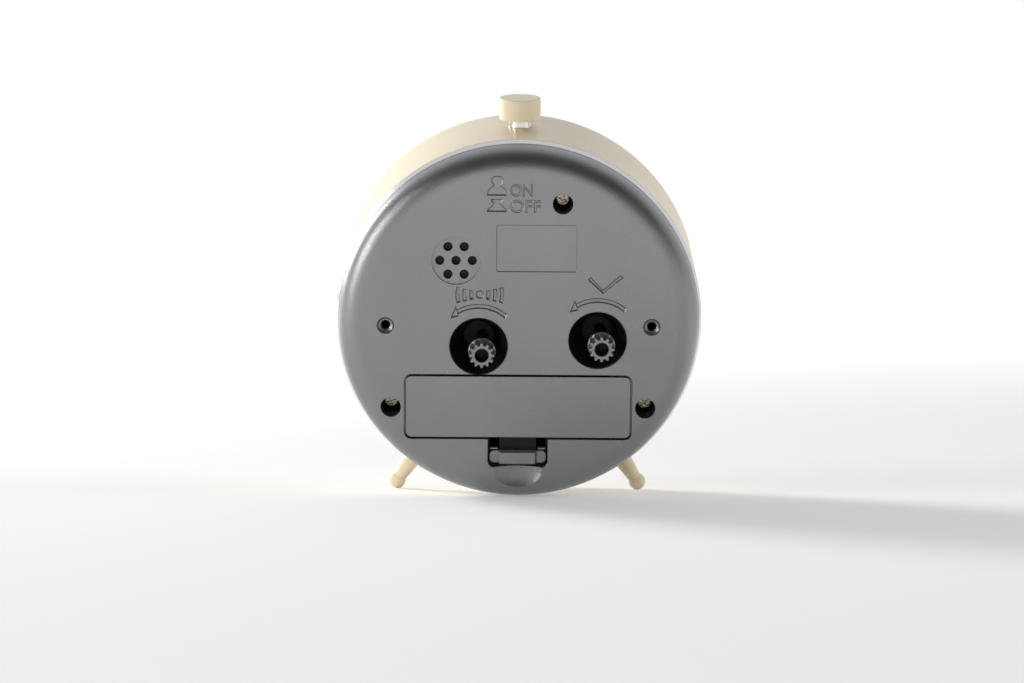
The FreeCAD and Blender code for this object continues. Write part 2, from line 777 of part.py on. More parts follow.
def make_battery():
    cell = turned("battery_cell", [
        (ZERO, ZERO),
        (cell_radius, ZERO),
        (cell_radius, cell_long),
        (nub_radius, cell_long),
        (nub_radius, cell_long + nub_long),
        (ZERO, cell_long + nub_long),
    ])
    round_edges(cell, "cell_edges", contact_thick, ring_at(cell_radius, cell_long))
    plate_inside = bay_long / 2 - contact_thick
    start = plate_inside - nub_long - cell_long
    keep(cell, "battery_cell", across(start, door_middle_y, cell_axis))

    side = contact_side / 2
    plates = []
    for word, left in (("far", -bay_long / 2), ("near", bay_long / 2 - contact_thick)):
        plates.append(block("contact_" + word, left, left + contact_thick, door_middle_y - side,
                            door_middle_y + side, cell_axis - side, cell_axis + side))
    pair = doc.addObject("Part::Compound", "contact_plates")
    pair.Links = plates
    keep(pair, "contact_plates")

    spring = coil_shape(contact_spring_radius, contact_wire, contact_spring_room, contact_spring_turns)
    feature("negative_spring", spring, "negative_spring", across(plate_inside * -1, door_middle_y, cell_axis))


def coil_shape(radius, wire, room, turns):
    """An open coil that stands in the given room, just clear of both ends."""
    middle = as_size(radius).number
    half_wire = as_size(wire).number / 2 + running_play.number
    rise = as_size(room).number - 2 * half_wire
    spine = Part.makeHelix(rise / turns, rise, middle)
    spine.translate(FreeCAD.Vector(0, 0, half_wire))
    start = FreeCAD.Vector(middle, 0, half_wire)
    circle = Part.makeCircle(as_size(wire).number / 2, start, FreeCAD.Vector(0, 1, 0))
    return Part.Wire(spine.Edges).makePipeShell([Part.Wire([circle])], True, True)


# Speaker and screws

def make_speaker():
    """A small speaker: basket, a narrower magnet behind it."""
    speaker = turned("speaker", [
        (ZERO, cover_inside),
        (speaker_radius, cover_inside),
        (speaker_radius, cover_inside + speaker_thick / 2),
        (speaker_magnet_radius, cover_inside + speaker_thick / 2),
        (speaker_magnet_radius, cover_inside + speaker_thick),
        (ZERO, cover_inside + speaker_thick),
    ])
    keep(speaker, "speaker", shift(grille_x, grille_y))


def make_case_screws():
    screws = []
    for index, (x, y) in enumerate(screw_spots()):
        head = cylinder("screw_head_%d" % index, x, y, pocket_floor - screw_head_thick,
                        pocket_floor, screw_head_radius)
        shank = cylinder("screw_shank_%d" % index, x, y, pocket_floor,
                         pocket_floor + screw_long, screw_radius)
        screws.append(fuse("screw_%d" % index, [head, shank]))
    group = doc.addObject("Part::Compound", "case_screws")
    group.Links = screws
    keep(group, "case_screws")


# Legs

def hexagon(radius):
    corners = []
    for step in range(6):
        angle = math.radians(60 * step)
        corners.append((radius * math.cos(angle), radius * math.sin(angle)))
    return corners


def make_legs():
    """Two turned legs: ball foot, ankle, swelling shank and a stud through the case."""
    top = leg_reach - case_radius
    ankle = math.sqrt(leg_ball_radius.number ** 2 - leg_ankle_radius.number ** 2)
    ground = doc.addObject("Part::Box", "ground")
    bind(ground, "Length", case_radius * 4)
    bind(ground, "Width", case_radius * 4)
    bind(ground, "Height", leg_ball_radius)
    corner = FreeCAD.Vector(-2 * case_radius.number, -2 * case_radius.number, -leg_ball_radius.number)
    ground.Placement = STAND.inverse().multiply(FreeCAD.Placement(corner, FreeCAD.Rotation()))
    nuts = []
    for word, sign in (("left", -1), ("right", 1)):
        ball = doc.addObject("Part::Sphere", "ball_" + word)
        bind(ball, "Radius", leg_ball_radius)
        shank = cone("shank_" + word, 0, 0, ankle, top, leg_ankle_radius, leg_top_radius)
        stud = cylinder("stud_" + word, 0, 0, top, top + stud_long, stud_radius)
        leg = fuse("leg_blank_" + word, [ball, shank, stud])
        angle = sign * leg_angle.number
        outward = radial(0, 0, leg_station, angle)
        foot = FreeCAD.Placement(FreeCAD.Vector(0, 0, leg_reach.number),
                                 FreeCAD.Rotation(FreeCAD.Vector(1, 0, 0), 180))
        leg.Placement = outward.multiply(foot)
        keep(cut("leg_" + word, leg, [ground]), "leg_" + word)

        drop = nut_radius.number ** 2 / (2 * inner_radius.number)
        nut_outer = inner_radius - drop
        nut = padded("nut_" + word, hexagon(nut_radius), nut_outer - nut_thick, nut_outer,
                     [(0, 0, stud_radius + hole_play)])
        nut.Placement = outward
        nuts.append(nut)
    pair = doc.addObject("Part::Compound", "leg_nuts")
    pair.Links = nuts
    keep(pair, "leg_nuts")


# Alarm button

def upward(height=0):
    """A place on the button's axis, own Z pointing up out of the case."""
    return radial(0, 0, button_station, 180).multiply(shift(0, 0, height))


def make_button():
    under = case_radius + cap_above_case
    cap = turned("button_cap", [
        (cap_bore_radius, under),
        (cap_radius, under),
        (cap_radius, under + cap_tall),
        (ZERO, under + cap_tall),
        (ZERO, under + cap_bore_deep),
        (cap_bore_radius, under + cap_bore_deep),
    ])
    round_edges(cap, "cap_edge", cap_round, ring_at(cap_radius, under + cap_tall))
    keep(cap, "button_cap", upward())

    bore = plunger_radius + running_play
    neck_end = case_radius - ferrule_neck_long
    ferrule_top = case_radius + ferrule_above_case
    ferrule = turned("button_ferrule", [
        (bore, neck_end),
        (ferrule_neck_radius, neck_end),
        (ferrule_neck_radius, case_radius),
        (ferrule_base_radius, case_radius),
        (ferrule_base_radius, case_radius + case_wall / 2),
        (ferrule_top_radius, case_radius + case_wall),
        (ferrule_top_radius, ferrule_top),
        (bore, ferrule_top),
    ])
    keep(ferrule, "button_ferrule", upward())

    drop = nut_radius.number ** 2 / (2 * inner_radius.number)
    nut_outer = inner_radius - drop
    nut = padded("button_nut", hexagon(nut_radius), nut_outer - nut_thick, nut_outer,
                 [(0, 0, ferrule_neck_radius + hole_play)])
    keep(nut, "button_nut", upward())

    head_low = switch_top - button_travel - plunger_head_long - inner_play
    plunger = turned("button_stem", [
        (ZERO, head_low),
        (plunger_head_radius, head_low),
        (plunger_head_radius, head_low + plunger_head_long),
        (plunger_radius, head_low + plunger_head_long),
        (plunger_radius, under + cap_bore_deep),
        (ZERO, under + cap_bore_deep),
    ])
    keep(plunger, "button_stem", upward())

    half = switch_wide / 2
    box = block("switch_box", -half, half, switch_low, switch_top, switch_back, frame_back)
    well = cylinder("switch_well", 0, 0, 0, switch_top, plunger_head_radius + running_play)
    well.setExpression("Placement.Base.z", None)
    bind(well, "Height", switch_top)
    room_low = head_low - spring_room
    well.Placement = upward(room_low)
    keep(cut("button_switch", box, [well]), "button_switch")

    spring = coil_shape(plunger_radius, spring_wire, spring_room, spring_turns)
    feature("button_spring", spring, "button_spring", upward(room_low))


# Toothed wheels

def toothed_disc(teeth, module, phase, low, high):
    """A disc with straight-flanked teeth, the first one centred at the phase angle."""
    pitch = 360.0 / teeth
    pitch_radius = teeth * module / 2
    tip = pitch_radius + addendum * module
    root = pitch_radius - dedendum * module
    spread = tooth_share * root_spread * 0.5 * pitch
    corners = []
    for tooth in range(teeth):
        middle = phase + tooth * pitch
        for offset, radius in ((-spread, root), (-tip_share * 0.5 * pitch, tip),
                               (tip_share * 0.5 * pitch, tip), (spread, root)):
            angle = math.radians(middle + offset)
            corners.append(FreeCAD.Vector(radius * math.cos(angle), radius * math.sin(angle), low))
    corners.append(corners[0])
    face = Part.Face(Part.makePolygon(corners))
    return face.extrude(FreeCAD.Vector(0, 0, high - low))


def meshed_phase(phase, teeth, direction, other_teeth):
    """The phase of a wheel that meshes with another, seen from the first towards the second."""
    step = 360.0 / teeth
    part_way = ((direction - phase) / step) % 1.0
    return direction + 180 + (part_way + 0.5) * 360.0 / other_teeth


def bearing_angle(x, y):
    return math.degrees(math.atan2(y, x))


def wheel_levels():
    """Heights of the wheels, from the lid of the works towards its back."""
    top = works_lid.number - inner_play.number
    thick = wheel_thick.number
    levels = {}
    for order, name in enumerate(("alarm", "hour", "motion", "centre", "third", "second", "step")):
        high = top - order * wheel_step.number
        levels[name] = (high - thick, high)
    return levels


def knob_shape(height_end, bore_radius):
    """Grip with teeth, collar and shaft, from the tip inwards."""
    tip = knob_tip.number
    grip_end = tip + knob_grip_long.number
    ring = rod_shape(knob_root_radius, tip, grip_end)
    teeth = []
    width = knob_tip_radius.number * math.pi / knob_teeth * grip_tooth_share
    reach = knob_tip_radius.number
    for tooth in range(knob_teeth):
        bar = Part.makeBox(reach, width, grip_end - tip, FreeCAD.Vector(0, -width / 2, tip))
        bar.rotate(FreeCAD.Vector(), FreeCAD.Vector(0, 0, 1), 360.0 * tooth / knob_teeth)
        teeth.append(bar)
    grip = ring.fuse(teeth).common(rod_shape(knob_tip_radius, tip, grip_end))
    collar = rod_shape(collar_radius, grip_end, grip_end + collar_thick.number)
    shaft = rod_shape(knob_shaft_radius, grip_end, height_end)
    bore = rod_shape(bore_radius, tip, tip + knob_bore_deep.number)
    return grip.fuse([collar, shaft]).cut(bore).removeSplitter()


def make_wheels():
    """The clockwork: alarm wheel, motion work and the stepping train to the seconds hand."""
    levels = wheel_levels()
    gap = running_play.number
    wall = tube_wall.number
    inner = [arbor_radius.number]
    for _ in range(4):
        inner.append(inner[-1] + gap)
        inner.append(inner[-1] + wall)
    seconds_out, minute_in, minute_out, hour_in, hour_out, alarm_in, alarm_out = inner[:7]
    tube_ends = hand_heights()

    # Alarm knob, its pinion and the alarm wheel
    x, y = alarm_knob_x.number, alarm_knob_y.number
    spread = distance(alarm_knob_x, alarm_knob_y).number
    module = 2 * spread / (alarm_pinion_teeth + alarm_wheel_teeth)
    low, high = levels["alarm"]
    wheel = toothed_disc(alarm_wheel_teeth, module, 0, low, high)
    tube = rod_shape(alarm_out, low, tube_ends["alarm"])
    bored = wheel.fuse(tube).cut(rod_shape(alarm_in, low - 1, tube_ends["alarm"] + 1))
    feature("alarm_wheel", bored, "alarm_wheel")
    direction = bearing_angle(x, y)
    phase = meshed_phase(0, alarm_wheel_teeth, direction, alarm_pinion_teeth)
    pinion = toothed_disc(alarm_pinion_teeth, module, phase, low, high)
    knob = knob_shape(high, knob_bore_radius).fuse(pinion)
    feature("alarm_set_knob", knob, "alarm_set_knob", shift(x, y))

    # Motion work between the cannon pinion, the hour wheel and the time knob
    x, y = time_knob_x.number, time_knob_y.number
    spread = distance(time_knob_x, time_knob_y).number
    near_teeth = cannon_teeth + motion_wheel_teeth
    far_teeth = motion_wheel_teeth + set_wheel_teeth
    module = 2 * spread / (near_teeth + far_teeth)
    direction = bearing_angle(x, y)
    reach = near_teeth * module / 2
    motion_x = reach * math.cos(math.radians(direction))
    motion_y = reach * math.sin(math.radians(direction))
    hour_low, hour_high = levels["hour"]
    low, high = levels["motion"]
    cannon_tube = rod_shape(minute_out, low, tube_ends["minute"])
    cannon = toothed_disc(cannon_teeth, module, direction, low, high)
    cannon = cannon.fuse(cannon_tube).cut(rod_shape(minute_in, low - 1, tube_ends["minute"] + 1))
    feature("cannon_pinion", cannon, "cannon_pinion")
    motion_phase = meshed_phase(direction, cannon_teeth, direction, motion_wheel_teeth)
    pinion_phase = meshed_phase(0, hour_wheel_teeth, direction, motion_pinion_teeth)
    motion = toothed_disc(motion_wheel_teeth, module, motion_phase, low, high)
    pinion = toothed_disc(motion_pinion_teeth, module, pinion_phase, high, hour_high)
    post_hole = rod_shape(arbor_radius.number + gap, low - 1, hour_high + 1)
    feature("motion_wheel", motion.fuse(pinion).cut(post_hole), "motion_wheel", shift(motion_x, motion_y))
    hour = toothed_disc(hour_wheel_teeth, module, 0, hour_low, hour_high)
    hour = hour.fuse(rod_shape(hour_out, hour_low, tube_ends["hour"]))
    hour = hour.cut(rod_shape(hour_in, hour_low - 1, tube_ends["hour"] + 1))
    feature("hour_wheel", hour, "hour_wheel")
    phase = meshed_phase(motion_phase, motion_wheel_teeth, direction, set_wheel_teeth)
    wheel = toothed_disc(set_wheel_teeth, module, phase, low, high)
    knob = knob_shape(high, knob_bore_radius).fuse(wheel)
    feature("time_set_knob", knob, "time_set_knob", shift(x, y))

    # Stepping train: rotor, step wheel, seconds wheel, third wheel and centre wheel
    module = fine_module.number
    low, high = levels["second"]
    arbor = rod_shape(seconds_out, works_inside_back + running_play, tube_ends["second"])
    second = toothed_disc(second_wheel_teeth, module, 0, low, high)
    third_low, third_high = levels["third"]
    second_pinion = toothed_disc(second_pinion_teeth, module, third_angle, high, third_high)
    feature("second_wheel", arbor.fuse([second, second_pinion]), "second_wheel")
    spread = (second_pinion_teeth + third_wheel_teeth) * module / 2
    third_x = spread * math.cos(math.radians(third_angle))
    third_y = spread * math.sin(math.radians(third_angle))
    phase = meshed_phase(third_angle, second_pinion_teeth, third_angle, third_wheel_teeth)
    third = toothed_disc(third_wheel_teeth, module, phase, third_low, third_high)
    centre_low, centre_high = levels["centre"]
    centre_module = 2 * spread / (third_pinion_teeth + centre_wheel_teeth)
    phase = meshed_phase(0, centre_wheel_teeth, third_angle, third_pinion_teeth)
    pinion = toothed_disc(third_pinion_teeth, centre_module, phase, third_high, centre_high)
    post_hole = rod_shape(arbor_radius.number + gap, third_low - 1, centre_high + 1)
    feature("third_wheel", third.fuse(pinion).cut(post_hole), "third_wheel", shift(third_x, third_y))
    centre = toothed_disc(centre_wheel_teeth, centre_module, 0, centre_low, centre_high)
    centre = centre.fuse(rod_shape(minute_out, centre_low, levels["motion"][0] - gap))
    centre = centre.cut(rod_shape(minute_in, centre_low - 1, centre_high + wheel_step.number))
    feature("centre_wheel", centre, "centre_wheel")

    spread = (step_pinion_teeth + second_wheel_teeth) * module / 2
    step_x = spread * math.cos(math.radians(step_angle))
    step_y = spread * math.sin(math.radians(step_angle))
    step_low, step_high = levels["step"]
    phase = meshed_phase(0, second_wheel_teeth, step_angle, step_pinion_teeth)
    pinion = toothed_disc(step_pinion_teeth, module, phase, step_high, high)
    step = toothed_disc(step_wheel_teeth, module, step_angle, step_low, step_high)
    post_hole = rod_shape(arbor_radius.number + gap, step_low - 1, high + 1)
    feature("step_wheel", step.fuse(pinion).cut(post_hole), "step_wheel", shift(step_x, step_y))
    reach = (rotor_teeth + step_wheel_teeth) * module / 2
    rotor_x = step_x + reach * math.cos(math.radians(step_angle))
    rotor_y = step_y + reach * math.sin(math.radians(step_angle))
    phase = meshed_phase(step_angle, step_wheel_teeth, step_angle, rotor_teeth)
    pinion = toothed_disc(rotor_teeth, module, phase, step_low, step_high)
    magnet = rod_shape(magnet_radius, step_high, high)
    post_hole = rod_shape(arbor_radius.number + gap, step_low - 1, high + 1)
    feature("rotor", pinion.fuse(magnet).cut(post_hole), "rotor", shift(rotor_x, rotor_y))
    return (motion_x, motion_y), (third_x, third_y), (step_x, step_y), (rotor_x, rotor_y), levels


def hand_heights():
    """Top of each hand, from the alarm hand out to the seconds hand."""
    bush_top = dial_front.number + bush_nut_thick.number + bush_above_nut.number
    heights = {}
    for order, name in enumerate(("alarm", "hour", "minute", "second")):
        heights[name] = bush_top + hand_thick.number * 2 + order * hand_step.number
    return heights


def make_works():
    """Housing of the clockwork with its posts, bush, stator, coil and circuit board."""
    motion, third, step, rotor, levels = make_wheels()
    gap = running_play.number
    post = arbor_radius.number
    outer = block("works_outer", works_left, works_right, works_low, works_high, works_back, works_lid)
    inner = block("works_inner", works_left + thin_wall, works_right - thin_wall, works_low + thin_wall,
                  works_high - thin_wall, works_inside_back, works_lid + 1)
    holes = [inner]
    knobs = (("alarm", alarm_knob_x, alarm_knob_y), ("time", time_knob_x, time_knob_y))
    for word, x, y in knobs:
        radius = knob_shaft_radius + running_play
        holes.append(cylinder(word + "_shaft_hole", x, y, works_back - 1, works_inside_back + 1, radius))
    tray = cut("works_tray", outer, holes)
    posts = [tray]
    for word, spot, level in (("third", third, "centre"), ("step", step, "second"), ("rotor", rotor, "second")):
        posts.append(cylinder(word + "_post", spot[0], spot[1], works_inside_back, levels[level][1], post))
    keep(fuse("works_housing", posts), "works_housing")

    lid = block("works_lid_plate", works_left, works_right, works_low, works_high, works_lid, frame_back)
    bush_end = dial_front + bush_nut_thick + bush_above_nut
    bush = cylinder("works_bush", 0, 0, frame_back, bush_end, bush_radius)
    motion_post = cylinder("motion_post", motion[0], motion[1], levels["motion"][0], works_lid, post)
    alarm_out = arbor_radius + tube_wall * 3 + running_play * 3
    bore = cylinder("bush_bore", 0, 0, works_lid - 1, bush_end + 1, alarm_out + running_play)
    keep(cut("works_lid", fuse("works_lid_blank", [lid, bush, motion_post]), [bore]), "works_lid")

    nut = padded("works_nut", hexagon(bush_nut_radius), dial_front, dial_front + bush_nut_thick,
                 [(0, 0, bush_radius + hole_play)])
    keep(nut, "works_nut")

    # Stator plate round the rotor, with the coil across the top
    low = levels["second"][0] - running_play.number
    stator_low = as_size(low)
    hole_radius = magnet_radius + inner_play * 1.5
    left = as_size(rotor[0]) - stator_reach
    right = as_size(rotor[0]) + stator_side
    plate_top = works_high - thin_wall - inner_play
    plate = block("stator_plate", left, right, as_size(rotor[1]) - stator_side, plate_top,
                  stator_low, stator_low + stator_thick)
    core_y = plate_top - coil_radius
    core = block("coil_core", right, right + coil_long, core_y - core_half, core_y + core_half,
                 stator_low, stator_low + stator_thick)
    rotor_hole = cylinder("rotor_hole", rotor[0], rotor[1], stator_low - 1,
                          stator_low + stator_thick + 1, hole_radius)
    keep(cut("stator", fuse("stator_blank", [plate, core]), [rotor_hole]), "stator")
    winding = rod_shape(coil_radius, core_half, coil_long - core_half)
    slot_half = core_half.number + running_play.number
    slot_thick = stator_thick.number + running_play.number * 2
    slot = Part.makeBox(slot_thick, slot_half * 2, coil_long.number,
                        FreeCAD.Vector(-slot_thick / 2, -slot_half, 0))
    middle = low + stator_thick.number / 2
    feature("coil", winding.cut(slot), "coil", across(right, core_y, middle))

    board_right = works_right - thin_wall - inner_play
    board_left = board_right - board_wide
    board_low = works_inside_back
    board_high = board_low + board_thick
    board = block("board_plate", board_left, board_right, plate_top - board_tall, plate_top,
                  board_low, board_high)
    chip = cylinder("board_chip", board_left + board_wide / 2, plate_top - board_tall / 2,
                    board_high, board_high + board_thick, chip_radius)
    keep(fuse("circuit_board", [board, chip]), "circuit_board")


# Hands

def hand_outline(length, half_width, tail):
    """A tapered baton: widest near the hub, square at the tip."""
    tip = half_width * tip_width_share
    end = half_width * tail_width_share
    return [(end * -1, tail * -1), (end, tail * -1), (half_width, ZERO),
            (tip, length), (tip * -1, length), (half_width * -1, ZERO)]


def make_hands():
    heights = hand_heights()
    tubes = {
        "second": arbor_radius,
        "minute": arbor_radius + tube_wall + running_play,
        "hour": arbor_radius + tube_wall * 2 + running_play * 2,
        "alarm": arbor_radius + tube_wall * 3 + running_play * 3,
    }
    plans = (
        ("alarm", alarm_long, alarm_half, alarm_tail, alarm_turn),
        ("hour", hour_long, hour_half, hour_tail, hour_turn),
        ("minute", minute_long, minute_half, minute_tail, minute_turn),
        ("second", second_long, second_half, second_tail, second_turn),
    )
    for word, length, half_width, tail, turn in plans:
        high = as_size(heights[word])
        low = high - hand_thick
        blade = padded(word + "_blade", hand_outline(length, half_width, tail), low, high)
        hub = cylinder(word + "_hub", 0, 0, low, high, tubes[word] + hand_hub_wall)
        hole = cylinder(word + "_hand_hole", 0, 0, low - 1, high + 1, tubes[word])
        hand = cut(word + "_hand", fuse(word + "_hand_blank", [blade, hub]), [hole])
        keep(hand, word + "_hand", shift(turn=turn))


def write_parts():
    doc.recompute()
    for thing in doc.Objects:
        if "Invalid" in thing.State or "Error" in thing.State:
            raise RuntimeError("%s failed: %s" % (thing.Label, thing.State))
    os.makedirs("parts", exist_ok=True)
    for thing in finished:
        if thing.Shape.isNull() or not thing.Shape.isValid() or not thing.Shape.Solids:
            raise RuntimeError("%s has no valid solid" % thing.Label)
    for thing in finished:
        thing.Shape.exportStep("parts/%s.step" % thing.Label)
        print("%-18s %d solids %10.2f mm3" % (thing.Label, len(thing.Shape.Solids), thing.Shape.Volume))


make_case()
make_front()
make_frame()
make_cover()
make_door()
make_battery()
make_speaker()
make_case_screws()
make_legs()
make_button()
make_works()
make_hands()
write_parts()
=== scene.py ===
"""Round leaning table alarm clock, seen from behind. Shapes are drawn in millimetres with Z along the dial's
axis, X to the right seen from the dial and Y up the clock, and are then stood up in the model's own frame."""
import json
import math

import bmesh
import bpy
from mathutils import Matrix, Vector


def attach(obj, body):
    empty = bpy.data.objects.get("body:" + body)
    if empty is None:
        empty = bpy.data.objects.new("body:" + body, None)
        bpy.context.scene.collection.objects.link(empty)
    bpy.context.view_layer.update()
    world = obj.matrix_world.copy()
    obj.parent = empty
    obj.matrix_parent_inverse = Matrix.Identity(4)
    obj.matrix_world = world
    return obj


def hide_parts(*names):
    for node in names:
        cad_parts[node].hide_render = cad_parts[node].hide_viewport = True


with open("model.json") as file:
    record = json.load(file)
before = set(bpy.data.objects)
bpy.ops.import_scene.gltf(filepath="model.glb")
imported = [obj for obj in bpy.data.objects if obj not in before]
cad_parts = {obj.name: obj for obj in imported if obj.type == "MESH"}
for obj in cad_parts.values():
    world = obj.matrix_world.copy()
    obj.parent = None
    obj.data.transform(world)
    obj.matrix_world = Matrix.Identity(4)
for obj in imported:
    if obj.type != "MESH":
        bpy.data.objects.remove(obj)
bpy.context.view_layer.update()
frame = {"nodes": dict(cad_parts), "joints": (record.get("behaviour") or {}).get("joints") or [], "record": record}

JOINTS = {joint["name"]: joint for joint in frame["joints"]}
LEAN = math.radians(12)
AXIS = Vector(JOINTS["minute_hand_turn"]["pos_m"])
STAND = (Matrix.Translation(AXIS) @ Matrix.Rotation(math.radians(90) - LEAN, 4, "X")
         @ Matrix.Scale(0.001, 4))
TO_BENCH = STAND.inverted()


# Materials

def tree_of(material):
    nodes = material.node_tree.nodes
    return nodes, material.node_tree.links, nodes["Principled BSDF"]


def noise(nodes, links, coords, scale, detail=3.0):
    texture = nodes.new("ShaderNodeTexNoise")
    texture.inputs["Scale"].default_value = scale
    texture.inputs["Detail"].default_value = detail
    links.new(coords.outputs["Object"], texture.inputs["Vector"])
    return texture.outputs["Fac"]


def spread(nodes, links, value, low, high):
    """Noise stretched over a range."""
    reach = nodes.new("ShaderNodeMapRange")
    reach.inputs["From Min"].default_value = 0.3
    reach.inputs["From Max"].default_value = 0.7
    reach.inputs["To Min"].default_value = low
    reach.inputs["To Max"].default_value = high
    links.new(value, reach.inputs["Value"])
    return reach.outputs["Result"]


def finish(name, colour, rough, metallic=0.0, coat=0.0, specular=0.5, shade=0.06, rough_play=0.06,
           grain=0.0, grain_scale=4000.0, cloud_scale=60.0, wear=None):
    """A surface with slow colour and gloss variation, a fine grain and, if asked, rubbed patches."""
    material = bpy.data.materials.new(name)
    material.use_nodes = True
    nodes, links, shader = tree_of(material)
    coords = nodes.new("ShaderNodeTexCoord")
    cloud = noise(nodes, links, coords, cloud_scale, 5.0)
    tint = nodes.new("ShaderNodeMix")
    tint.data_type = "RGBA"
    tint.inputs["A"].default_value = (*[c * (1 - shade) for c in colour], 1)
    tint.inputs["B"].default_value = (*[min(1, c * (1 + shade)) for c in colour], 1)
    links.new(spread(nodes, links, cloud, 0.0, 1.0), tint.inputs["Factor"])
    result = tint.outputs["Result"]
    if wear:
        patch = noise(nodes, links, coords, cloud_scale * 9, 6.0)
        worn = nodes.new("ShaderNodeMix")
        worn.data_type = "RGBA"
        worn.inputs["B"].default_value = (*wear, 1)
        links.new(result, worn.inputs["A"])
        links.new(spread(nodes, links, patch, -0.12, 0.22), worn.inputs["Factor"])
        result = worn.outputs["Result"]
    links.new(result, shader.inputs["Base Color"])
    fine = noise(nodes, links, coords, grain_scale, 2.0)
    links.new(spread(nodes, links, noise(nodes, links, coords, cloud_scale * 4), rough - rough_play,
                     rough + rough_play), shader.inputs["Roughness"])
    shader.inputs["Metallic"].default_value = metallic
    shader.inputs["Coat Weight"].default_value = coat
    shader.inputs["Specular IOR Level"].default_value = specular
    if grain:
        bump = nodes.new("ShaderNodeBump")
        bump.inputs["Strength"].default_value = 1.0
        bump.inputs["Distance"].default_value = grain
        links.new(fine, bump.inputs["Height"])
        links.new(bump.outputs["Normal"], shader.inputs["Normal"])
    return material


def see_through(material):
    """Lets light pass the glass so that the dial behind it is lit."""
    nodes, links, shader = tree_of(material)
    shader.inputs["Transmission Weight"].default_value = 1.0
    shader.inputs["IOR"].default_value = 1.45
    path = nodes.new("ShaderNodeLightPath")
    pass_on = nodes.new("ShaderNodeMath")
    pass_on.operation = "MAXIMUM"
    links.new(path.outputs["Is Shadow Ray"], pass_on.inputs[0])
    links.new(path.outputs["Is Diffuse Ray"], pass_on.inputs[1])
    clear = nodes.new("ShaderNodeBsdfTransparent")
    mix = nodes.new("ShaderNodeMixShader")
    links.new(pass_on.outputs["Value"], mix.inputs["Fac"])
    links.new(shader.outputs["BSDF"], mix.inputs[1])
    links.new(clear.outputs["BSDF"], mix.inputs[2])
    links.new(mix.outputs["Shader"], nodes["Material Output"].inputs["Surface"])
    return material


FINISHES = {
    "cream_paint": finish("cream_paint", (0.74, 0.64, 0.455), 0.34, shade=0.01, rough_play=0.02,
                          grain=0.000004, grain_scale=1800, cloud_scale=12),
    "clear_glass": see_through(finish("clear_glass", (0.98, 0.99, 0.99), 0.03, shade=0.005, rough_play=0.01)),
    "grey_moulding": finish("grey_moulding", (0.225, 0.229, 0.232), 0.3, metallic=0.84, shade=0.04,
                            rough_play=0.03, grain=0.00007, grain_scale=3600, cloud_scale=45),
    "dial_print": finish("dial_print", (0.80, 0.78, 0.72), 0.62, shade=0.02, grain=0.000008,
                         grain_scale=5000),
    "black_moulding": finish("black_moulding", (0.010, 0.010, 0.011), 0.55, specular=0.25, grain=0.00003),
    "knob_moulding": finish("knob_moulding", (0.21, 0.21, 0.212), 0.24, metallic=0.6, grain=0.00001,
                            rough_play=0.08),
    "plated_steel": finish("plated_steel", (0.60, 0.57, 0.49), 0.12, metallic=1.0, rough_play=0.05,
                           cloud_scale=200, grain=0.000003),
    "zinc_steel": finish("zinc_steel", (0.34, 0.30, 0.24), 0.2, metallic=1.0, cloud_scale=150, grain=0.00012,
                         grain_scale=1800, wear=(0.10, 0.09, 0.07)),
    "brass_fitting": finish("brass_fitting", (0.72, 0.53, 0.26), 0.28, metallic=1.0, grain=0.000005),
    "white_wheels": finish("white_wheels", (0.80, 0.79, 0.74), 0.4, grain=0.00001),
    "copper_winding": finish("copper_winding", (0.62, 0.26, 0.11), 0.3, metallic=1.0, cloud_scale=900,
                             shade=0.2, grain=0.00008, grain_scale=2500),
    "cell_sleeve": finish("cell_sleeve", (0.035, 0.045, 0.06), 0.25, coat=0.3, grain=0.00001),
    "hand_metal": finish("hand_metal", (0.022, 0.022, 0.023), 0.35, grain=0.000006),
    "accent_hand": finish("accent_hand", (0.55, 0.16, 0.06), 0.35, grain=0.000006),
}
DIAL_INK = finish("dial_ink", (0.03, 0.03, 0.032), 0.6, grain=0.000008)
# A lighter, glossier copy of the grey moulding for the cover's outer lip: a painted highlight for the bright
# reflection along its edge.
LIP_PAINTED_HIGHLIGHT = finish("lip_painted_highlight", (0.56, 0.575, 0.60), 0.24, metallic=0.9, shade=0.03, rough_play=0.04)
# Near-black painted shade for the cover's wells, pockets, holes, door seam and latch gap, and for the knobs'
# shafts and bores; these are the same plastic as the rest, dark only because they lie in shadow.
WELL_PAINTED_SHADE = finish("well_painted_shade", (0.006, 0.006, 0.0065), 0.42, grain=0.00004, specular=0.22)


# Mesh helpers

def closed(build):
    """A mesh from vertex rings: build(bm) fills it, and its faces then point outwards."""
    bm = bmesh.new()
    build(bm)
    bmesh.ops.recalc_face_normals(bm, faces=bm.faces)
    mesh = bpy.data.meshes.new("part")
    bm.to_mesh(mesh)
    bm.free()
    return mesh


def skin(bm, rings, loop=False):
    """Joins rings of equal length by quads, with flat ends unless the rings run in a loop."""
    rows = [[bm.verts.new(point) for point in ring] for ring in rings]
    pairs = list(zip(rows, rows[1:]))
    if loop:
        pairs.append((rows[-1], rows[0]))
    for low, high in pairs:
        for index in range(len(low)):
            after = (index + 1) % len(low)
            bm.faces.new((low[index], low[after], high[after], high[index]))
    if not loop:
        bm.faces.new(rows[0])
        bm.faces.new(rows[-1])


def circle(radius, height, x=0.0, y=0.0, count=48):
    return [(x + radius * math.cos(math.tau * i / count), y + radius * math.sin(math.tau * i / count), height)
            for i in range(count)]


def lathe(profile, x=0.0, y=0.0, count=96, loop=False):
    """A solid turned about the line through x, y from (radius, height) points."""
    return closed(lambda bm: skin(bm, [circle(r, z, x, y, count) for r, z in profile], loop))


def arc(centre_r, centre_z, radius, start, end, steps=8):
    angles = [math.radians(start + (end - start) * i / steps) for i in range(steps + 1)]
    return [(centre_r + radius * math.cos(a), centre_z + radius * math.sin(a)) for a in angles]


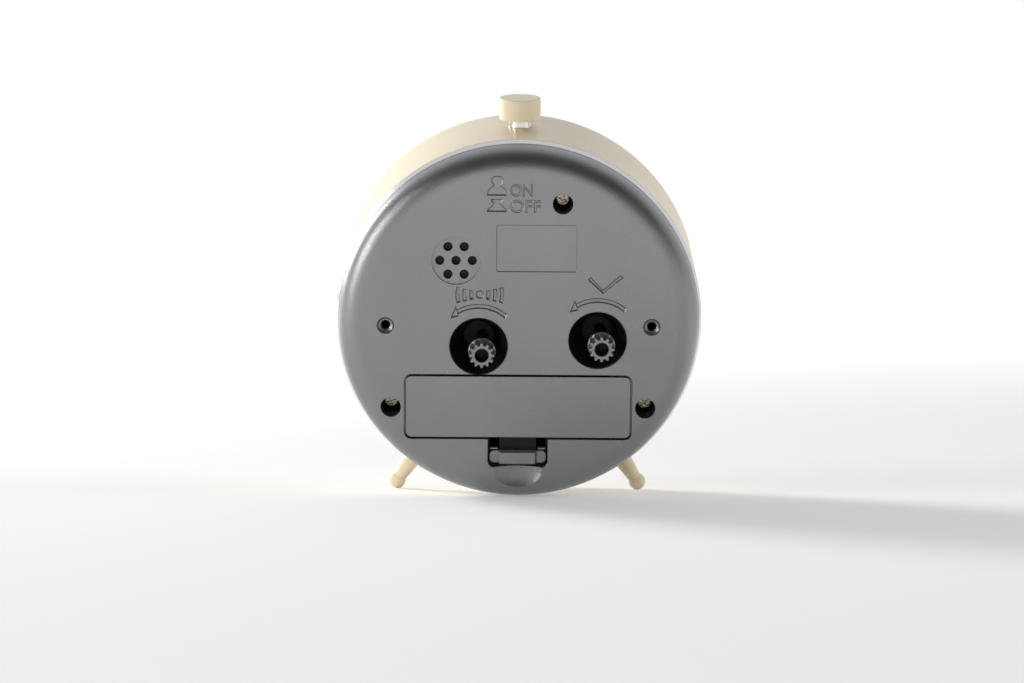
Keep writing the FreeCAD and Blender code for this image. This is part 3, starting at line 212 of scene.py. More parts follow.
def round_rect(left, right, low, high, radius, height, steps=6):
    ring = []
    corners = ((right - radius, high - radius, 0), (left + radius, high - radius, 90),
               (left + radius, low + radius, 180), (right - radius, low + radius, 270))
    for x, y, start in corners:
        for px, py in arc(x, y, radius, start, start + 90, steps):
            ring.append((px, py, height))
    return ring


def slab(left, right, low, high, radius, levels):
    """A block with rounded corners from (height, inset) levels."""
    rings = [round_rect(left + d, right - d, low + d, high - d, max(radius - d, 0.02), z) for z, d in levels]
    return closed(lambda bm: skin(bm, rings))


def box(left, right, low, high, back, front):
    return slab(left, right, low, high, 0.02, ((back, 0.0), (front, 0.0)))


def plate(outline, levels):
    """A plate raised from a 2D outline: each level is (height, inset of the outline)."""
    count = len(outline)
    rings = []
    for height, inset in levels:
        ring = []
        for i, (x, y) in enumerate(outline):
            before, after = Vector(outline[i - 1]), Vector(outline[(i + 1) % count])
            here = Vector((x, y))
            one, two = (here - before).normalized(), (after - here).normalized()
            normal = Vector((-(one.y + two.y), one.x + two.x))
            normal.normalize()
            lean = max(0.35, normal.dot(Vector((-one.y, one.x))))
            spot = here + normal * (inset / lean)
            ring.append((spot.x, spot.y, height))
        rings.append(ring)
    return closed(lambda bm: skin(bm, rings))


def merged(meshes):
    bm = bmesh.new()
    for mesh in meshes:
        bm.from_mesh(mesh)
    whole = bpy.data.meshes.new("part")
    bm.to_mesh(whole)
    bm.free()
    return whole


def boolean(base, operation, tools):
    """One exact boolean of a mesh with a set of tool meshes."""
    target = bpy.data.objects.new("target", base)
    bpy.context.scene.collection.objects.link(target)
    group = bpy.data.collections.new("tools")
    bpy.context.scene.collection.children.link(group)
    helpers = [bpy.data.objects.new("tool", mesh) for mesh in tools]
    for helper in helpers:
        group.objects.link(helper)
    step = target.modifiers.new("cut", "BOOLEAN")
    step.operation = operation
    step.solver = "EXACT"
    step.operand_type = "COLLECTION"
    step.collection = group
    bpy.context.view_layer.update()
    result = bpy.data.meshes.new_from_object(target.evaluated_get(bpy.context.evaluated_depsgraph_get()))
    for helper in [target] + helpers:
        bpy.data.objects.remove(helper)
    bpy.data.collections.remove(group)
    return result


def place(name, mesh, body, slot, nodes=(), materials=None, angle=32):
    """Stands a mesh up in the model's frame as a piece of a body, with its finish."""
    mesh.name = name
    mesh.transform(STAND)
    for polygon in mesh.polygons:
        polygon.use_smooth = True
    mesh.set_sharp_from_angle(angle=math.radians(angle))
    mesh.materials.clear()
    for material in materials or [FINISHES[slot]]:
        mesh.materials.append(material)
    piece = bpy.data.objects.new(name, mesh)
    bpy.context.scene.collection.objects.link(piece)
    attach(piece, body)
    if nodes:
        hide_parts(*nodes)
    even = piece.modifiers.new("even_shading", "WEIGHTED_NORMAL")
    even.keep_sharp = True
    return piece


def from_curve(data):
    """The closed mesh of a flat curve or text."""
    helper = bpy.data.objects.new("curve", data)
    bpy.context.scene.collection.objects.link(helper)
    bpy.context.view_layer.update()
    mesh = bpy.data.meshes.new_from_object(helper.evaluated_get(bpy.context.evaluated_depsgraph_get()))
    bpy.data.objects.remove(helper)
    bm = bmesh.new()
    bm.from_mesh(mesh)
    bmesh.ops.remove_doubles(bm, verts=bm.verts, dist=0.002)
    bmesh.ops.recalc_face_normals(bm, faces=bm.faces)
    bm.to_mesh(mesh)
    bm.free()
    return mesh


# Places on the back cover

COVER_FACE = -8.0
ALARM_WELL = (10.83, -5.53)
TIME_WELL = (-21.45, -3.66)
POCKETS = ((-11.7, 34.1), (-34.7, -22.7), (34.7, -22.7))
GRILLE = (17.0, 18.3)
DOOR = (-31.05, 31.05, -31.6, -13.4)
LATCH_HALF, LATCH_LOW, LATCH_FLOOR = 8.15, -39.6, -4.4
BAY = (-29.0, 29.0, -30.1, -14.9)
SMALL_HOLES = ((-36.1, 0.2), (36.1, 0.2))
DOOR_CORNER = 2.0
DOOR_GAP = 0.5
TABS = (-22, 22)
SCOOP_RADIUS, SCOOP_Y, SCOOP_Z = 13.18, -39.6, -19.38

# Places on the drum

DRUM_RADIUS = 50.0
BUTTON_STATION = 20
LEG_STATION, LEG_REACH, LEG_SPLAY = 22, 62.3, 33
FOOT_BALL, ANKLE, ROOT_GROWTH = 2.37, 1.88, 1.32


# Signs sunk into the back cover, drawn as they are read: u to the reader's right, v up

SIGN_DEEP = 0.35


def sunk(data):
    """A tool with sloping walls from a flat curve or text, set in the cover's face."""
    data.extrude = 0.4
    data.bevel_depth = SIGN_DEEP
    data.bevel_resolution = 0
    data.offset = -SIGN_DEEP
    mesh = from_curve(data)
    mesh.transform(Matrix(((-1, 0, 0, 0), (0, 1, 0, 0), (0, 0, 1, COVER_FACE - 0.4), (0, 0, 0, 1))))
    mesh.flip_normals()
    return mesh


def outline_tool(outlines):
    """A tool from closed flat outlines."""
    data = bpy.data.curves.new("outline", "CURVE")
    data.dimensions = "2D"
    data.fill_mode = "BOTH"
    for outline in outlines:
        line = data.splines.new("POLY")
        line.points.add(len(outline) - 1)
        for point, (u, v) in zip(line.points, outline):
            point.co = (u, v, 0, 1)
        line.use_cyclic_u = True
    return sunk(data)


def stroke(points, width):
    """The outline of a line of even width with square ends."""
    left, right = [], []
    for i, (u, v) in enumerate(points):
        before = Vector(points[max(i - 1, 0)])
        after = Vector(points[min(i + 1, len(points) - 1)])
        way = (after - before).normalized()
        side = Vector((-way.y, way.x)) * width / 2
        left.append((u + side.x, v + side.y))
        right.append((u - side.x, v - side.y))
    return left + right[::-1]


def word_tool(text, left, right, low, high):
    """A word scaled to fill a box."""
    data = bpy.data.curves.new("word", "FONT")
    data.body = text
    data.resolution_u = 5
    helper = bpy.data.objects.new("word", data)
    bpy.context.scene.collection.objects.link(helper)
    bpy.context.view_layer.update()
    corners = [Vector(c) for c in helper.bound_box]
    bpy.data.objects.remove(helper)
    wide = max(c.x for c in corners) - min(c.x for c in corners)
    tall = max(c.y for c in corners) - min(c.y for c in corners)
    data.size = (high - low) / tall
    data.space_character = 1.0 + 0.12 * ((right - left) / (wide * data.size) - 1.0)
    ratio = (right - left) / (wide * data.size)
    base_left = min(c.x for c in corners) * data.size * ratio
    base_low = min(c.y for c in corners) * data.size
    data.extrude = 0.4
    data.bevel_depth = 0.2
    data.bevel_resolution = 0
    data.offset = -0.09
    mesh = from_curve(data)
    mesh.transform(Matrix(((-ratio, 0, 0, base_left - left), (0, 1, 0, low - base_low),
                           (0, 0, 1, COVER_FACE - 0.4), (0, 0, 0, 1))))
    mesh.flip_normals()
    return mesh


def mirrored(half, middle):
    """A closed outline from its left half, listed from the foot up."""
    return half + [(2 * middle - u, v) for u, v in half[::-1]]


def arrow(u, v):
    """A band bent over a well, with its head at the left."""
    band = arc(u, v, 11.9, 48, 122, 24) + arc(u, v, 10.55, 122, 47, 24)
    corners = ((13.0, 118.5), (11.0, 134.5), (9.9, 122))
    return [band, [arc(u, v, reach, angle, angle, 1)[0] for reach, angle in corners]]


def sign_tools():
    face = COVER_FACE
    tools = [slab(-15.65, 6.15, 15.3, 28.35, 0.5, ((face - 1, 0.0), (face, 0.0), (face + 0.25, 0.2)))]
    tools.append(word_tool("ON", -2.4, 3.5, 36.2, 39.45))
    tools.append(word_tool("OFF", -2.4, 5.75, 31.75, 35.1))
    raised = [(-8.75, 36.3), (-8.75, 36.9), (-8.55, 37.8), (-8.0, 38.5), (-7.35, 38.85), (-7.1, 39.15),
              (-7.45, 39.65), (-7.75, 40.3), (-7.7, 40.9), (-7.3, 41.45), (-6.7, 41.72)]
    pressed = [(-8.75, 31.85), (-8.75, 32.3), (-7.25, 33.9), (-7.15, 34.2), (-7.75, 35.05), (-7.75, 35.4)]
    tools += [outline_tool([mirrored(half, -6.02)]) for half in (raised, pressed)]
    for reach, tall in ((2.3, 2.7), (4.2, 3.5), (6.05, 4.3)):
        for side in (0, 180):
            swing = math.degrees(math.asin(tall / 14))
            away = (reach - 7) * (1 if side == 0 else -1)
            line = arc(-10.53 + away, 8.85, 7, side - swing, side + swing, 8)
            tools.append(outline_tool([stroke(line, 1.25)]))
    tools.append(outline_tool([arc(-10.53, 9.0, 1.2, 0, 345, 22)]))
    tools.append(outline_tool([stroke([(18.95, 13.75), (22.75, 9.95), (27.9, 14.35)], 1.2)]))
    for well in (ALARM_WELL, TIME_WELL):
        tools += [outline_tool([line]) for line in arrow(-well[0], well[1])]
    return tools


# Camera, light and floor

FLOOR_GLOW = 0.24
SURROUND = 0.33
CEILING = 0.04
LAMPS = (("key", (1.0, -0.8, 0.46), (0.5, 0.6), 9, True),
         ("key_soft", (1.0, -0.8, 0.46), (0.4, 0.4), 12, False),
         ("fill_left", (1.15, 0.6, 0.3), (0.5, 0.5), 7, True),
         ("fill_right", (-1.3, 0.1, 0.45), (0.9, 0.7), 8, False),
         ("fill_near", (0.35, 1.5, 0.3), (1.2, 0.7), 8, False))


def make_camera():
    look, roll = math.radians(2.34), math.radians(0.4)
    ahead = Vector((0, -math.cos(look), -math.sin(look)))
    up = Vector((0, -math.sin(look), math.cos(look)))
    right = Vector((-1, 0, 0))
    turned_right = right * math.cos(roll) + up * math.sin(roll)
    turned_up = up * math.cos(roll) - right * math.sin(roll)
    spot = AXIS - (turned_right * 1.8 + turned_up * 5.87 + ahead * 940) * 0.001
    data = bpy.data.cameras.new("camera")
    data.sensor_width = 36
    data.lens = 120.97
    data.clip_start, data.clip_end = 0.05, 20
    camera = bpy.data.objects.new("camera", data)
    turn = Matrix((turned_right, turned_up, -ahead)).transposed().to_4x4()
    camera.matrix_world = Matrix.Translation(spot) @ turn
    bpy.context.scene.collection.objects.link(camera)
    bpy.context.scene.camera = camera


def area_light(name, spot, aim, size, power, mirrored_in_gloss):
    data = bpy.data.lights.new(name, "AREA")
    data.shape = "RECTANGLE"
    data.size, data.size_y = size
    data.energy = power
    lamp = bpy.data.objects.new(name, data)
    lamp.location = spot
    lamp.rotation_mode = "QUATERNION"
    lamp.rotation_quaternion = (Vector(aim) - Vector(spot)).to_track_quat("-Z", "Y")
    lamp.visible_glossy = mirrored_in_gloss
    bpy.context.scene.collection.objects.link(lamp)


def light_path(nodes, links, *rays):
    """1 for the named kinds of ray and 0 for the rest."""
    path = nodes.new("ShaderNodeLightPath")
    value = path.outputs[rays[0]]
    for ray in rays[1:]:
        either = nodes.new("ShaderNodeMath")
        either.operation = "MAXIMUM"
        links.new(value, either.inputs[0])
        links.new(path.outputs[ray], either.inputs[1])
        value = either.outputs["Value"]
    return value


def ramp(nodes, links, value, start, end, low, high):
    """A smooth step of a value from low at start to high at end."""
    reach = nodes.new("ShaderNodeMapRange")
    reach.interpolation_type = "SMOOTHSTEP"
    for word, number in (("From Min", start), ("From Max", end), ("To Min", low), ("To Max", high)):
        reach.inputs[word].default_value = number
    links.new(value, reach.inputs["Value"])
    return reach.outputs["Result"]


def times(nodes, links, one, two):
    product = nodes.new("ShaderNodeMath")
    product.operation = "MULTIPLY"
    links.new(one, product.inputs[0])
    links.new(two, product.inputs[1])
    return product.outputs["Value"]


def make_stage():
    """A white floor that fades into the white surround, and soft lamps, the strongest low on the left."""
    mesh = closed(lambda bm: skin(bm, [round_rect(-6, 6, -6, 6, 5.9, z, 12) for z in (-0.02, 0.0)]))
    floor = bpy.data.objects.new("floor", mesh)
    bpy.context.scene.collection.objects.link(floor)
    material = bpy.data.materials.new("floor")
    material.use_nodes = True
    nodes, links, shader = tree_of(material)
    shader.inputs["Base Color"].default_value = (0.78, 0.78, 0.78, 1)
    shader.inputs["Roughness"].default_value = 0.9
    shader.inputs["Specular IOR Level"].default_value = 0.1
    shader.inputs["Emission Color"].default_value = (1, 1, 1, 1)
    coords = nodes.new("ShaderNodeTexCoord")
    far = nodes.new("ShaderNodeVectorMath")
    far.operation = "LENGTH"
    links.new(coords.outputs["Object"], far.inputs[0])
    glow = ramp(nodes, links, far.outputs["Value"], 0.3, 1.8, FLOOR_GLOW, 1.0)
    # The floor's glow seen in reflections is dimmer within 0.2 m of the clock: painted shade standing in for the
    # clock's shadow on the floor around it.
    glossy_glow_painted_shade = ramp(nodes, links, far.outputs["Value"], 0.0, 0.2, 0.28, 0.6)
    total = nodes.new("ShaderNodeMath")
    total.operation = "ADD"
    links.new(times(nodes, links, glow, light_path(nodes, links, "Is Camera Ray")), total.inputs[0])
    links.new(times(nodes, links, glossy_glow_painted_shade, light_path(nodes, links, "Is Glossy Ray", "Is Transmission Ray")),
              total.inputs[1])
    links.new(total.outputs["Value"], shader.inputs["Emission Strength"])
    mesh.materials.append(material)

    world = bpy.data.worlds.new("studio")
    bpy.context.scene.world = world
    world.use_nodes = True
    nodes, links = world.node_tree.nodes, world.node_tree.links
    backdrop = nodes["Background"]
    backdrop.inputs["Color"].default_value = (1, 1, 1, 1)
    coords = nodes.new("ShaderNodeTexCoord")
    split = nodes.new("ShaderNodeSeparateXYZ")
    links.new(coords.outputs["Generated"], split.inputs["Vector"])
    above = ramp(nodes, links, split.outputs["Z"], -0.1, 0.3, 0.0, 1.0)
    front = ramp(nodes, links, split.outputs["Y"], -0.55, 0.6, 0.0, 1.0)
    room = ramp(nodes, links, times(nodes, links, above, front), 0.0, 1.0, 1.0, CEILING)
    mirrored_rays = light_path(nodes, links, "Is Glossy Ray", "Is Transmission Ray")
    level = ramp(nodes, links, mirrored_rays, 0.0, 1.0, SURROUND, 1.0)
    plain = light_path(nodes, links, "Is Camera Ray")
    brighter = nodes.new("ShaderNodeMath")
    brighter.operation = "MAXIMUM"
    links.new(times(nodes, links, room, level), brighter.inputs[0])
    links.new(plain, brighter.inputs[1])
    links.new(brighter.outputs["Value"], backdrop.inputs["Strength"])

    middle = (0, 0, 0.06)
    for name, spot, size, power, mirrored_in_gloss in LAMPS:
        area_light(name, spot, middle, size, power, mirrored_in_gloss)


# Back cover

def mouth(x, y, radius, deep, edge=0.25, count=64):
    """A round hole's tool with a small rounded edge at the cover's face."""
    face = COVER_FACE
    profile = [(radius + edge, face - 1.0), (radius + edge, face), (radius + edge * 0.3, face + edge * 0.3),
               (radius, face + edge), (radius, deep)]
    return lathe(profile, x, y, count)


def flared(left, right, low, high, radius, deep, edge):
    """A rounded opening's tool with a small rounded edge at the cover's face."""
    face = COVER_FACE
    levels = ((face - 1, -edge), (face, -edge), (face + edge * 0.3, -edge * 0.3), (face + edge, 0.0),
              (deep, 0.0))
    return slab(left, right, low, high, radius, levels)


def from_door_core(spot):
    """The distance of a point from the straight-cornered middle of the door opening."""
    across = abs(spot.x) - DOOR[1] + DOOR_CORNER
    along = abs(spot.y - (DOOR[2] + DOOR[3]) / 2) - (DOOR[3] - DOOR[2]) / 2 + DOOR_CORNER
    return math.hypot(max(across, 0), max(along, 0)) + min(max(across, along), 0)


def deep_inside(spot):
    """Whether a point of the cover lies in a well, a pocket, a hole, the door's seam or the latch's gap, where the
    cover is painted near-black as shade.
    """
    for x, y in (ALARM_WELL, TIME_WELL):
        if -7.75 < spot.z < 4.5 and math.hypot(spot.x - x, spot.y - y) < 7.8 - (spot.z + 8) * 0.28:
            return True
    for x, y in POCKETS:
        if -7.7 < spot.z < 0.6 and math.hypot(spot.x - x, spot.y - y) < 2.75:
            return True
    for x, y in SMALL_HOLES:
        if -7.0 < spot.z < -5.0 and math.hypot(spot.x - x, spot.y - y) < 1.2:
            return True
    if -7.3 < spot.z < -5.0 and math.hypot(spot.x - GRILLE[0], spot.y - GRILLE[1]) < 6.0:
        return True
    if -7.97 < spot.z < -6.2 and from_door_core(spot) < DOOR_CORNER + 0.06:
        return True
    return -7.7 < spot.z < 3.0 and abs(spot.x) < 8.3 and -35.6 < spot.y < -31.6


def make_cover():
    outer = [(41.5, -8.0), (42.5, -8.0)] + arc(42.7, -1.6, 6.4, 270, 360, 22)
    lip = [(49.1, -1.45), (49.14, -1.4), (49.3, -0.95), (49.88, 0.55), (49.98, 0.75), (49.95, 0.9),
           (49.85, 1.0), (48.9, 1.0), (48.9, 5.0)]
    inner = [(47.1, 5.0), (47.1, -1.6)] + arc(42.5, -1.6, 4.6, 0, -90, 8)[1:] + [(41.5, -6.2)]
    shell = lathe(outer + lip + inner, count=288)

    added = []
    for x, y in (ALARM_WELL, TIME_WELL):
        added.append(lathe([(8.9, -6.3), (5.4, 4.0)], x, y, 64))
    for x, y in POCKETS:
        added.append(lathe([(3.9, -6.3), (3.9, 1.7)], x, y, 40))
    added.append(box(-30.2, 30.2, -31.3, -13.7, -6.3, 9.9))
    added.append(box(-32.25, 32.25, -32.8, -12.2, -6.3, -5.0))
    added.append(box(-9.35, 9.35, -40.8, -31.0, -6.3, -3.2))
    whole = boolean(shell, "UNION", added)

    tools = []
    well = [(9.0, -9.0), (8.2, -8.0), (7.95, -7.9), (7.75, -7.6), (4.2, 4.0), (4.2, 6.0)]
    for x, y in (ALARM_WELL, TIME_WELL):
        tools.append(lathe(well, x, y, 96))
    for x, y in POCKETS:
        tools.append(mouth(x, y, 2.7, 0.5))
    for x, y in SMALL_HOLES:
        tools.append(lathe([(2.4, -9.0), (2.35, -8.0), (2.2, -7.7), (1.95, -7.4), (1.6, -7.15), (1.4, -7.1),
                            (1.3, -7.0), (1.1, -6.9), (1.1, -5.0)], x, y, 48))
    tools.append(mouth(*GRILLE, 6.55, -7.5, 0.15, 96))
    for step in range(7):
        angle = math.radians(60 * step)
        far = 4.4 if step < 6 else 0.0
        tools.append(lathe([(1.3, -8.6), (1.3, -7.5), (1.15, -7.32), (1.15, -5.0)],
                           GRILLE[0] + far * math.cos(angle), GRILLE[1] + far * math.sin(angle), 40))
    tools.append(flared(*DOOR, DOOR_CORNER, -6.2, 0.15))
    tools.append(box(*BAY, -9, 8.7))
    tools.append(slab(-LATCH_HALF, LATCH_HALF, LATCH_LOW, -28.0, 1.7,
                      ((-9.0, -0.15), (-8.0, -0.15), (-7.9, -0.04), (-7.8, 0.0), (LATCH_FLOOR, 0.0))))
    tools.append(box(-7.6, 7.6, -35.2, -31.0, -8.5, 3.0))
    for middle in TABS:
        tools.append(box(middle - 2.8, middle + 2.8, -15.9, -12.0, -6.2, -3.6))
    ball = [(SCOOP_RADIUS * math.sin(math.radians(a)), SCOOP_Z - SCOOP_RADIUS * math.cos(math.radians(a)))
            for a in [0.5] + list(range(3, 178, 3)) + [179.5]]
    tools.append(lathe(ball, 0.0, SCOOP_Y, 96))
    tools += sign_tools()
    carved = boolean(whole, "DIFFERENCE", tools)
    place("back_cover_moulding", carved, "clock", "grey_moulding", ["back_cover"],
          [FINISHES["grey_moulding"], WELL_PAINTED_SHADE, LIP_PAINTED_HIGHLIGHT])
    # Faces deep in the wells, pockets, holes, door seam and latch gap get the near-black painted shade.
    for polygon in carved.polygons:
        spot = TO_BENCH @ polygon.center
        if deep_inside(spot):
            polygon.material_index = 1
        # The outer lip gets the painted highlight.
        elif spot.z > -0.9 and math.hypot(spot.x, spot.y) > 49.25:
            polygon.material_index = 2


def make_door():
    left, right, low, high = DOOR[0] + DOOR_GAP, DOOR[1] - DOOR_GAP, DOOR[2] + DOOR_GAP, DOOR[3] - DOOR_GAP
    edge = ((-6.5, 0.12), (-6.62, 0.0), (-7.75, 0.0), (-7.93, 0.07), (-8.0, 0.25))
    parts = [slab(left, right, low, high, DOOR_CORNER - DOOR_GAP, edge)]
    for middle in TABS:
        parts.append(slab(middle - 2.5, middle + 2.5, high - 1.5, high - 0.1, 0.2, ((-6.9, 0), (-4.9, 0))))
        parts.append(slab(middle - 2.5, middle + 2.5, high - 0.6, high + 1.4, 0.3,
                          ((-5.9, 0.15), (-5.75, 0), (-5.05, 0), (-4.9, 0.15))))
    parts.append(slab(-7.45, 7.45, low, low + 1.0, 0.2, ((-6.9, 0), (-5.0, 0))))
    parts.append(slab(-5.0, 5.0, -35.8, low + 1.0, 0.1, ((-5.4, 0), (-5.0, 0))))
    parts.append(slab(-7.8, 7.8, -38.9, -35.3, 1.3, ((-5.0, 0.1), (-5.1, 0), (-5.85, 0), (-6.0, 0.15))))
    for middle in (-6.55, 6.55):
        parts.append(slab(middle - 1.15, middle + 1.15, -35.05, -34.35, 0.1,
                          ((-5.2, 0), (-6.0, 0.0), (-6.3, 0.2))))
    grip = [round_rect(-5.15, 5.15, -39.1, -35.0, 0.3, -5.6),
            round_rect(-5.15, 5.15, -39.1, -35.0, 0.3, -6.9),
            round_rect(-4.85, 5.05, -38.75, -35.55, 0.25, -7.42),
            round_rect(-4.75, 4.95, -38.65, -35.65, 0.2, -7.5)]
    parts.append(closed(lambda bm: skin(bm, grip)))
    mesh = merged(parts)
    place("battery_door_moulding", mesh, "door", "grey_moulding", ["battery_door"],
          [FINISHES["grey_moulding"], WELL_PAINTED_SHADE])
    # The door's edge walls in the seam and the strip by the latch get the near-black painted shade.
    for polygon in mesh.polygons:
        spot = TO_BENCH @ polygon.center
        rim = spot.z > -7.9 and spot.y > low - 0.05 and from_door_core(spot) > DOOR_CORNER - DOOR_GAP - 0.05
        if rim or (spot.z > -7.7 and -34.3 < spot.y < low + 0.05):
            polygon.material_index = 1


def make_case():
    profile = [(49.1, 1.45), (49.25, 1.3), (49.7, 1.3)] + arc(49.7, 1.6, 0.3, 270, 360, 4)[1:]
    profile += arc(48.8, 37.4, 1.2, 0, 90, 10) + [(46.75, 38.6)] + arc(46.75, 38.05, 0.55, 90, 180, 6)[1:]
    profile += [(46.2, 37.75), (49.1, 37.75)]
    place("case_shell", lathe(profile, count=288, loop=True), "clock", "cream_paint", ["case_drum"])


def make_legs():
    ankle = math.degrees(math.asin(ANKLE / FOOT_BALL))
    flat = math.degrees(math.asin(0.8 / FOOT_BALL))
    ball = [(FOOT_BALL * math.sin(math.radians(a)), -FOOT_BALL * math.cos(math.radians(a)))
            for a in [flat + (180 - ankle - flat) * i / 22 for i in range(23)]]
    start = ball[-1][1]
    top = LEG_REACH - DRUM_RADIUS
    shank = []
    for i in range(1, 17):
        t = i / 16
        shank.append((ANKLE + ROOT_GROWTH * t ** 1.15, start + (top + 1.0 - start) * t))
    for word, sign in (("left", -1), ("right", 1)):
        mesh = lathe(ball + shank, count=64)
        swing = Matrix.Rotation(sign * math.radians(LEG_SPLAY), 4, "Z")
        down = Matrix.Rotation(math.radians(90), 4, "X")
        reach = Matrix.Translation((0, 0, LEG_REACH)) @ Matrix.Rotation(math.pi, 4, "X")
        mesh.transform(Matrix.Translation((0, 0, LEG_STATION)) @ swing @ down @ reach)
        piece = place("turned_leg_" + word, mesh, "clock", "cream_paint", ["leg_" + word])
        for vertex in piece.data.vertices:
            vertex.co.z = max(vertex.co.z, 0.0)


def make_button():
    upward = Matrix.Translation((0, 0, BUTTON_STATION)) @ Matrix.Rotation(math.radians(-90), 4, "X")
    cap = [(0.02, 58.0), (5.3, 58.0)] + arc(5.3, 57.6, 0.4, 90, 0, 8)[1:]
    cap += [(5.7, 52.3), (5.62, 52.15), (5.5, 52.1), (3.7, 52.1), (3.6, 52.2), (3.6, 55.2), (0.02, 55.2)]
    mesh = lathe(cap, count=96)
    mesh.transform(upward)
    place("button_top", mesh, "button", "cream_paint", ["button_cap"])
    ferrule = [(1.56, 45.8), (2.4, 45.8), (2.4, 49.8), (3.2, 49.88), (3.2, 50.25), (3.17, 50.4), (2.98, 52.7),
               (2.9, 52.9), (1.56, 52.9)]
    mesh = lathe(ferrule, count=64, loop=True)
    mesh.transform(upward)
    place("plated_ferrule", mesh, "clock", "plated_steel", ["button_ferrule"])


def rack(x, y, teeth, tip, root, low, high):
    """Teeth round a hub, with rounded tips and a small edge at the end."""
    share = 0.38
    outline = []
    for tooth in range(teeth):
        middle = math.tau * tooth / teeth
        half = math.pi / teeth
        for offset, radius in ((-half, root), (-half * 0.66, root), (-half * share * 1.15, tip - 0.18),
                               (-half * share * 0.5, tip), (half * share * 0.5, tip),
                               (half * share * 1.15, tip - 0.18), (half * 0.66, root)):
            outline.append((x + radius * math.cos(middle + offset), y + radius * math.sin(middle + offset)))
    return plate(outline, ((low, 0.15), (low + 0.15, 0.0), (high, 0.0)))


def behind(node, height):
    """The part of a CAD node on the dial side of a height, closed by a flat end."""
    bm = bmesh.new()
    bm.from_mesh(frame["nodes"][node].data)
    bm.transform(TO_BENCH)
    bmesh.ops.remove_doubles(bm, verts=bm.verts, dist=0.0005)
    cut = bmesh.ops.bisect_plane(bm, geom=bm.verts[:] + bm.edges[:] + bm.faces[:], plane_co=(0, 0, height),
                                 plane_no=(0, 0, 1), clear_inner=True)
    rim = [piece for piece in cut["geom_cut"] if isinstance(piece, bmesh.types.BMEdge)]
    bmesh.ops.edgeloop_fill(bm, edges=rim)
    bmesh.ops.recalc_face_normals(bm, faces=bm.faces)
    mesh = bpy.data.meshes.new("part")
    bm.to_mesh(mesh)
    bm.free()
    return mesh


def make_knobs():
    spots = (("alarm_set_knob", "alarm_knob", "alarm_knob_turn"),
             ("time_set_knob", "time_knob", "time_knob_turn"))
    for node, body, joint in spots:
        spot = TO_BENCH @ Vector(JOINTS[joint]["pos_m"])
        grip = rack(spot.x, spot.y, 12, 3.5, 2.75, -16.5, -11.6)
        rod = lathe([(2.7, -16.3), (2.7, -11.7), (3.65, -11.7), (3.8, -11.55), (3.8, -10.95), (3.65, -10.8),
                     (1.51, -10.8), (1.51, -9.4)], spot.x, spot.y, 64)
        bore = lathe([(2.0, -17.0), (2.0, -16.5), (1.8, -16.3), (1.8, -11.5)], spot.x, spot.y, 48)
        whole = boolean(grip, "UNION", [rod, behind(node, -9.6)])
        mesh = boolean(whole, "DIFFERENCE", [bore])
        place(node + "_grip", mesh, body, "knob_moulding", [node], [FINISHES["knob_moulding"], WELL_PAINTED_SHADE])
        # The shaft and collar down in the well and the bore get the near-black painted shade.
        for polygon in mesh.polygons:
            at = TO_BENCH @ polygon.center
            if at.z > -11.65 or (at.z > -16.2 and math.hypot(at.x - spot.x, at.y - spot.y) < 1.9):
                polygon.material_index = 1


def make_screws():
    heads = []
    profile = [(1.5, -1.1), (1.9, -1.05), (2.2, -0.85), (2.38, -0.5), (2.4, 0.5), (1.2, 0.5), (1.2, 10.5)]
    for index, (x, y) in enumerate(POCKETS):
        head = lathe(profile, x, y, 48)
        turn = math.radians((20, 50, 75)[index])
        arms = []
        for quarter in range(2):
            arm = slab(-1.35, 1.35, -0.3, 0.3, 0.08, ((-2.0, 0.0), (-0.2, 0.1)))
            spin = Matrix.Rotation(turn + quarter * math.pi / 2, 4, "Z")
            arm.transform(Matrix.Translation((x, y, 0)) @ spin)
            arms.append(arm)
        heads.append(boolean(head, "DIFFERENCE", arms))
    place("cross_head_screws", merged(heads), "clock", "zinc_steel", ["case_screws"])


# Dial side

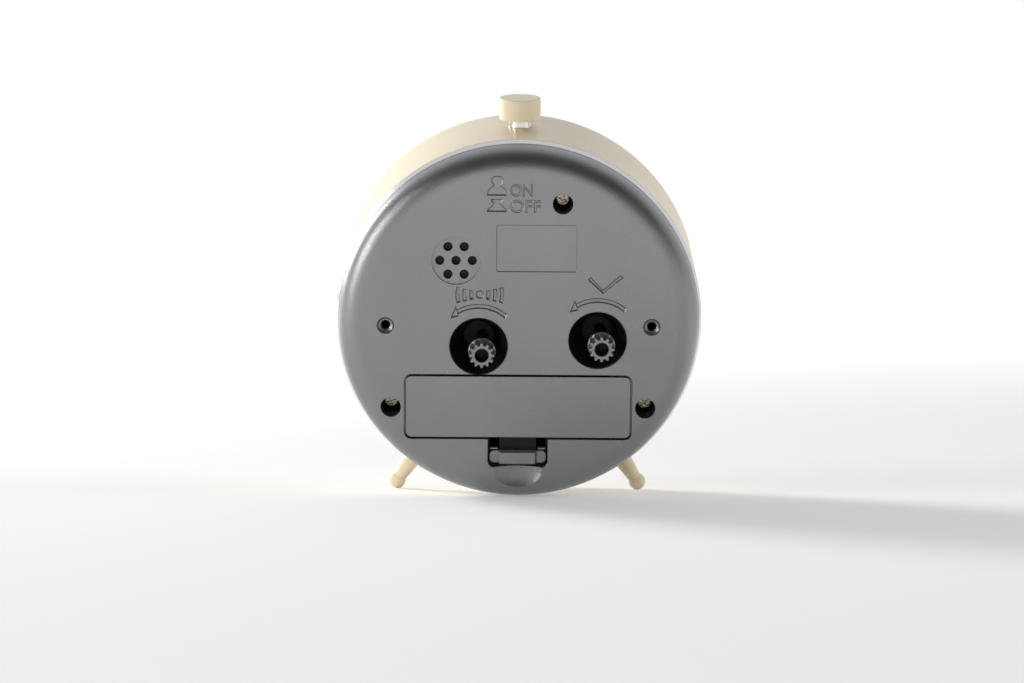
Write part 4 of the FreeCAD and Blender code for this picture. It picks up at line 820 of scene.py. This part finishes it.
def make_dial():
    back, front = 28.2, 28.8
    disc = lathe([(4.1, back), (48.8, back), (48.8, front), (4.1, front)], count=192, loop=True)
    place("dial_disc", disc, "clock", "dial_print", ["dial_plate"])
    ticks = []
    for minute in range(60):
        turn = math.radians(90 - 6 * minute)
        strong = minute % 5 == 0
        half, inner = (0.45, 41.4) if strong else (0.16, 42.6)
        tick = slab(inner, 44.0, -half, half, 0.05, ((front - 0.02, 0.0), (front + 0.03, 0.0)))
        tick.transform(Matrix.Rotation(turn, 4, "Z"))
        ticks.append(tick)
    for hour in range(1, 13):
        data = bpy.data.curves.new("numeral", "FONT")
        data.body = str(hour)
        data.size = 8.6
        data.align_x = "CENTER"
        data.align_y = "CENTER"
        data.extrude = 0.03
        mesh = from_curve(data)
        turn = math.radians(90 - 30 * hour)
        mesh.transform(Matrix.Translation((34.6 * math.cos(turn), 34.6 * math.sin(turn), front + 0.01)))
        ticks.append(mesh)
    place("dial_marks", merged(ticks), "clock", "dial_print", materials=[DIAL_INK])
    ring = [(48.8, 28.8), (48.8, 35.9), (46.5, 35.9), (46.35, 35.7), (45.05, 29.0), (45.0, 28.8)]
    place("dial_reflector", lathe(ring, count=192, loop=True), "clock", "dial_print", ["dial_ring"])
    pane = [(0.02, 35.9), (48.6, 35.9), (48.8, 36.1), (48.8, 37.5), (48.6, 37.7), (0.02, 37.7)]
    place("lens_pane", lathe(pane, count=192), "clock", "clear_glass", ["lens"])


def make_hands():
    plans = (("alarm", 17, 0.7, 3, 30.8, -195, 3.75, 2.55), ("hour", 25, 1.7, 6, 31.7, -304.5, 3.1, 1.9),
             ("minute", 36, 1.3, 7, 32.6, -54, 2.45, 1.25), ("second", 38, 0.45, 10, 33.5, -210, 1.8, 0.6))
    for word, length, half, tail, top, turn, hub, bore in plans:
        tip, end = half * 0.45, half * 0.7
        outline = [(-end, -tail), (end, -tail), (half, 0), (tip, length), (-tip, length), (-half, 0)]
        low = top - 0.3
        blade = plate(outline, ((low, 0.0), (top - 0.1, 0.0), (top, min(0.12, half * 0.25))))
        disc = lathe([(hub, low + 0.001), (hub, top - 0.08), (hub - 0.08, top + 0.0)], count=48)
        whole = boolean(blade, "UNION", [disc])
        mesh = boolean(whole, "DIFFERENCE", [lathe([(bore, low - 1), (bore, top + 1)], count=40)])
        mesh.transform(Matrix.Rotation(math.radians(turn), 4, "Z"))
        slot = "accent_hand" if word in ("alarm", "second") else "hand_metal"
        place(word + "_pointer", mesh, word, slot, [word + "_hand"], angle=20)


def dress_nodes():
    """Gives every CAD node its finish."""
    slots = {part["node"]: part["material_slot"] for part in frame["record"]["subparts"]}
    for name, node in frame["nodes"].items():
        node.data.materials.clear()
        node.data.materials.append(FINISHES[slots[name]])


bpy.context.scene.view_settings.view_transform = "Standard"
make_camera()
make_stage()
dress_nodes()
make_cover()
make_door()
make_case()
make_legs()
make_button()
make_knobs()
make_screws()
make_dial()
make_hands()
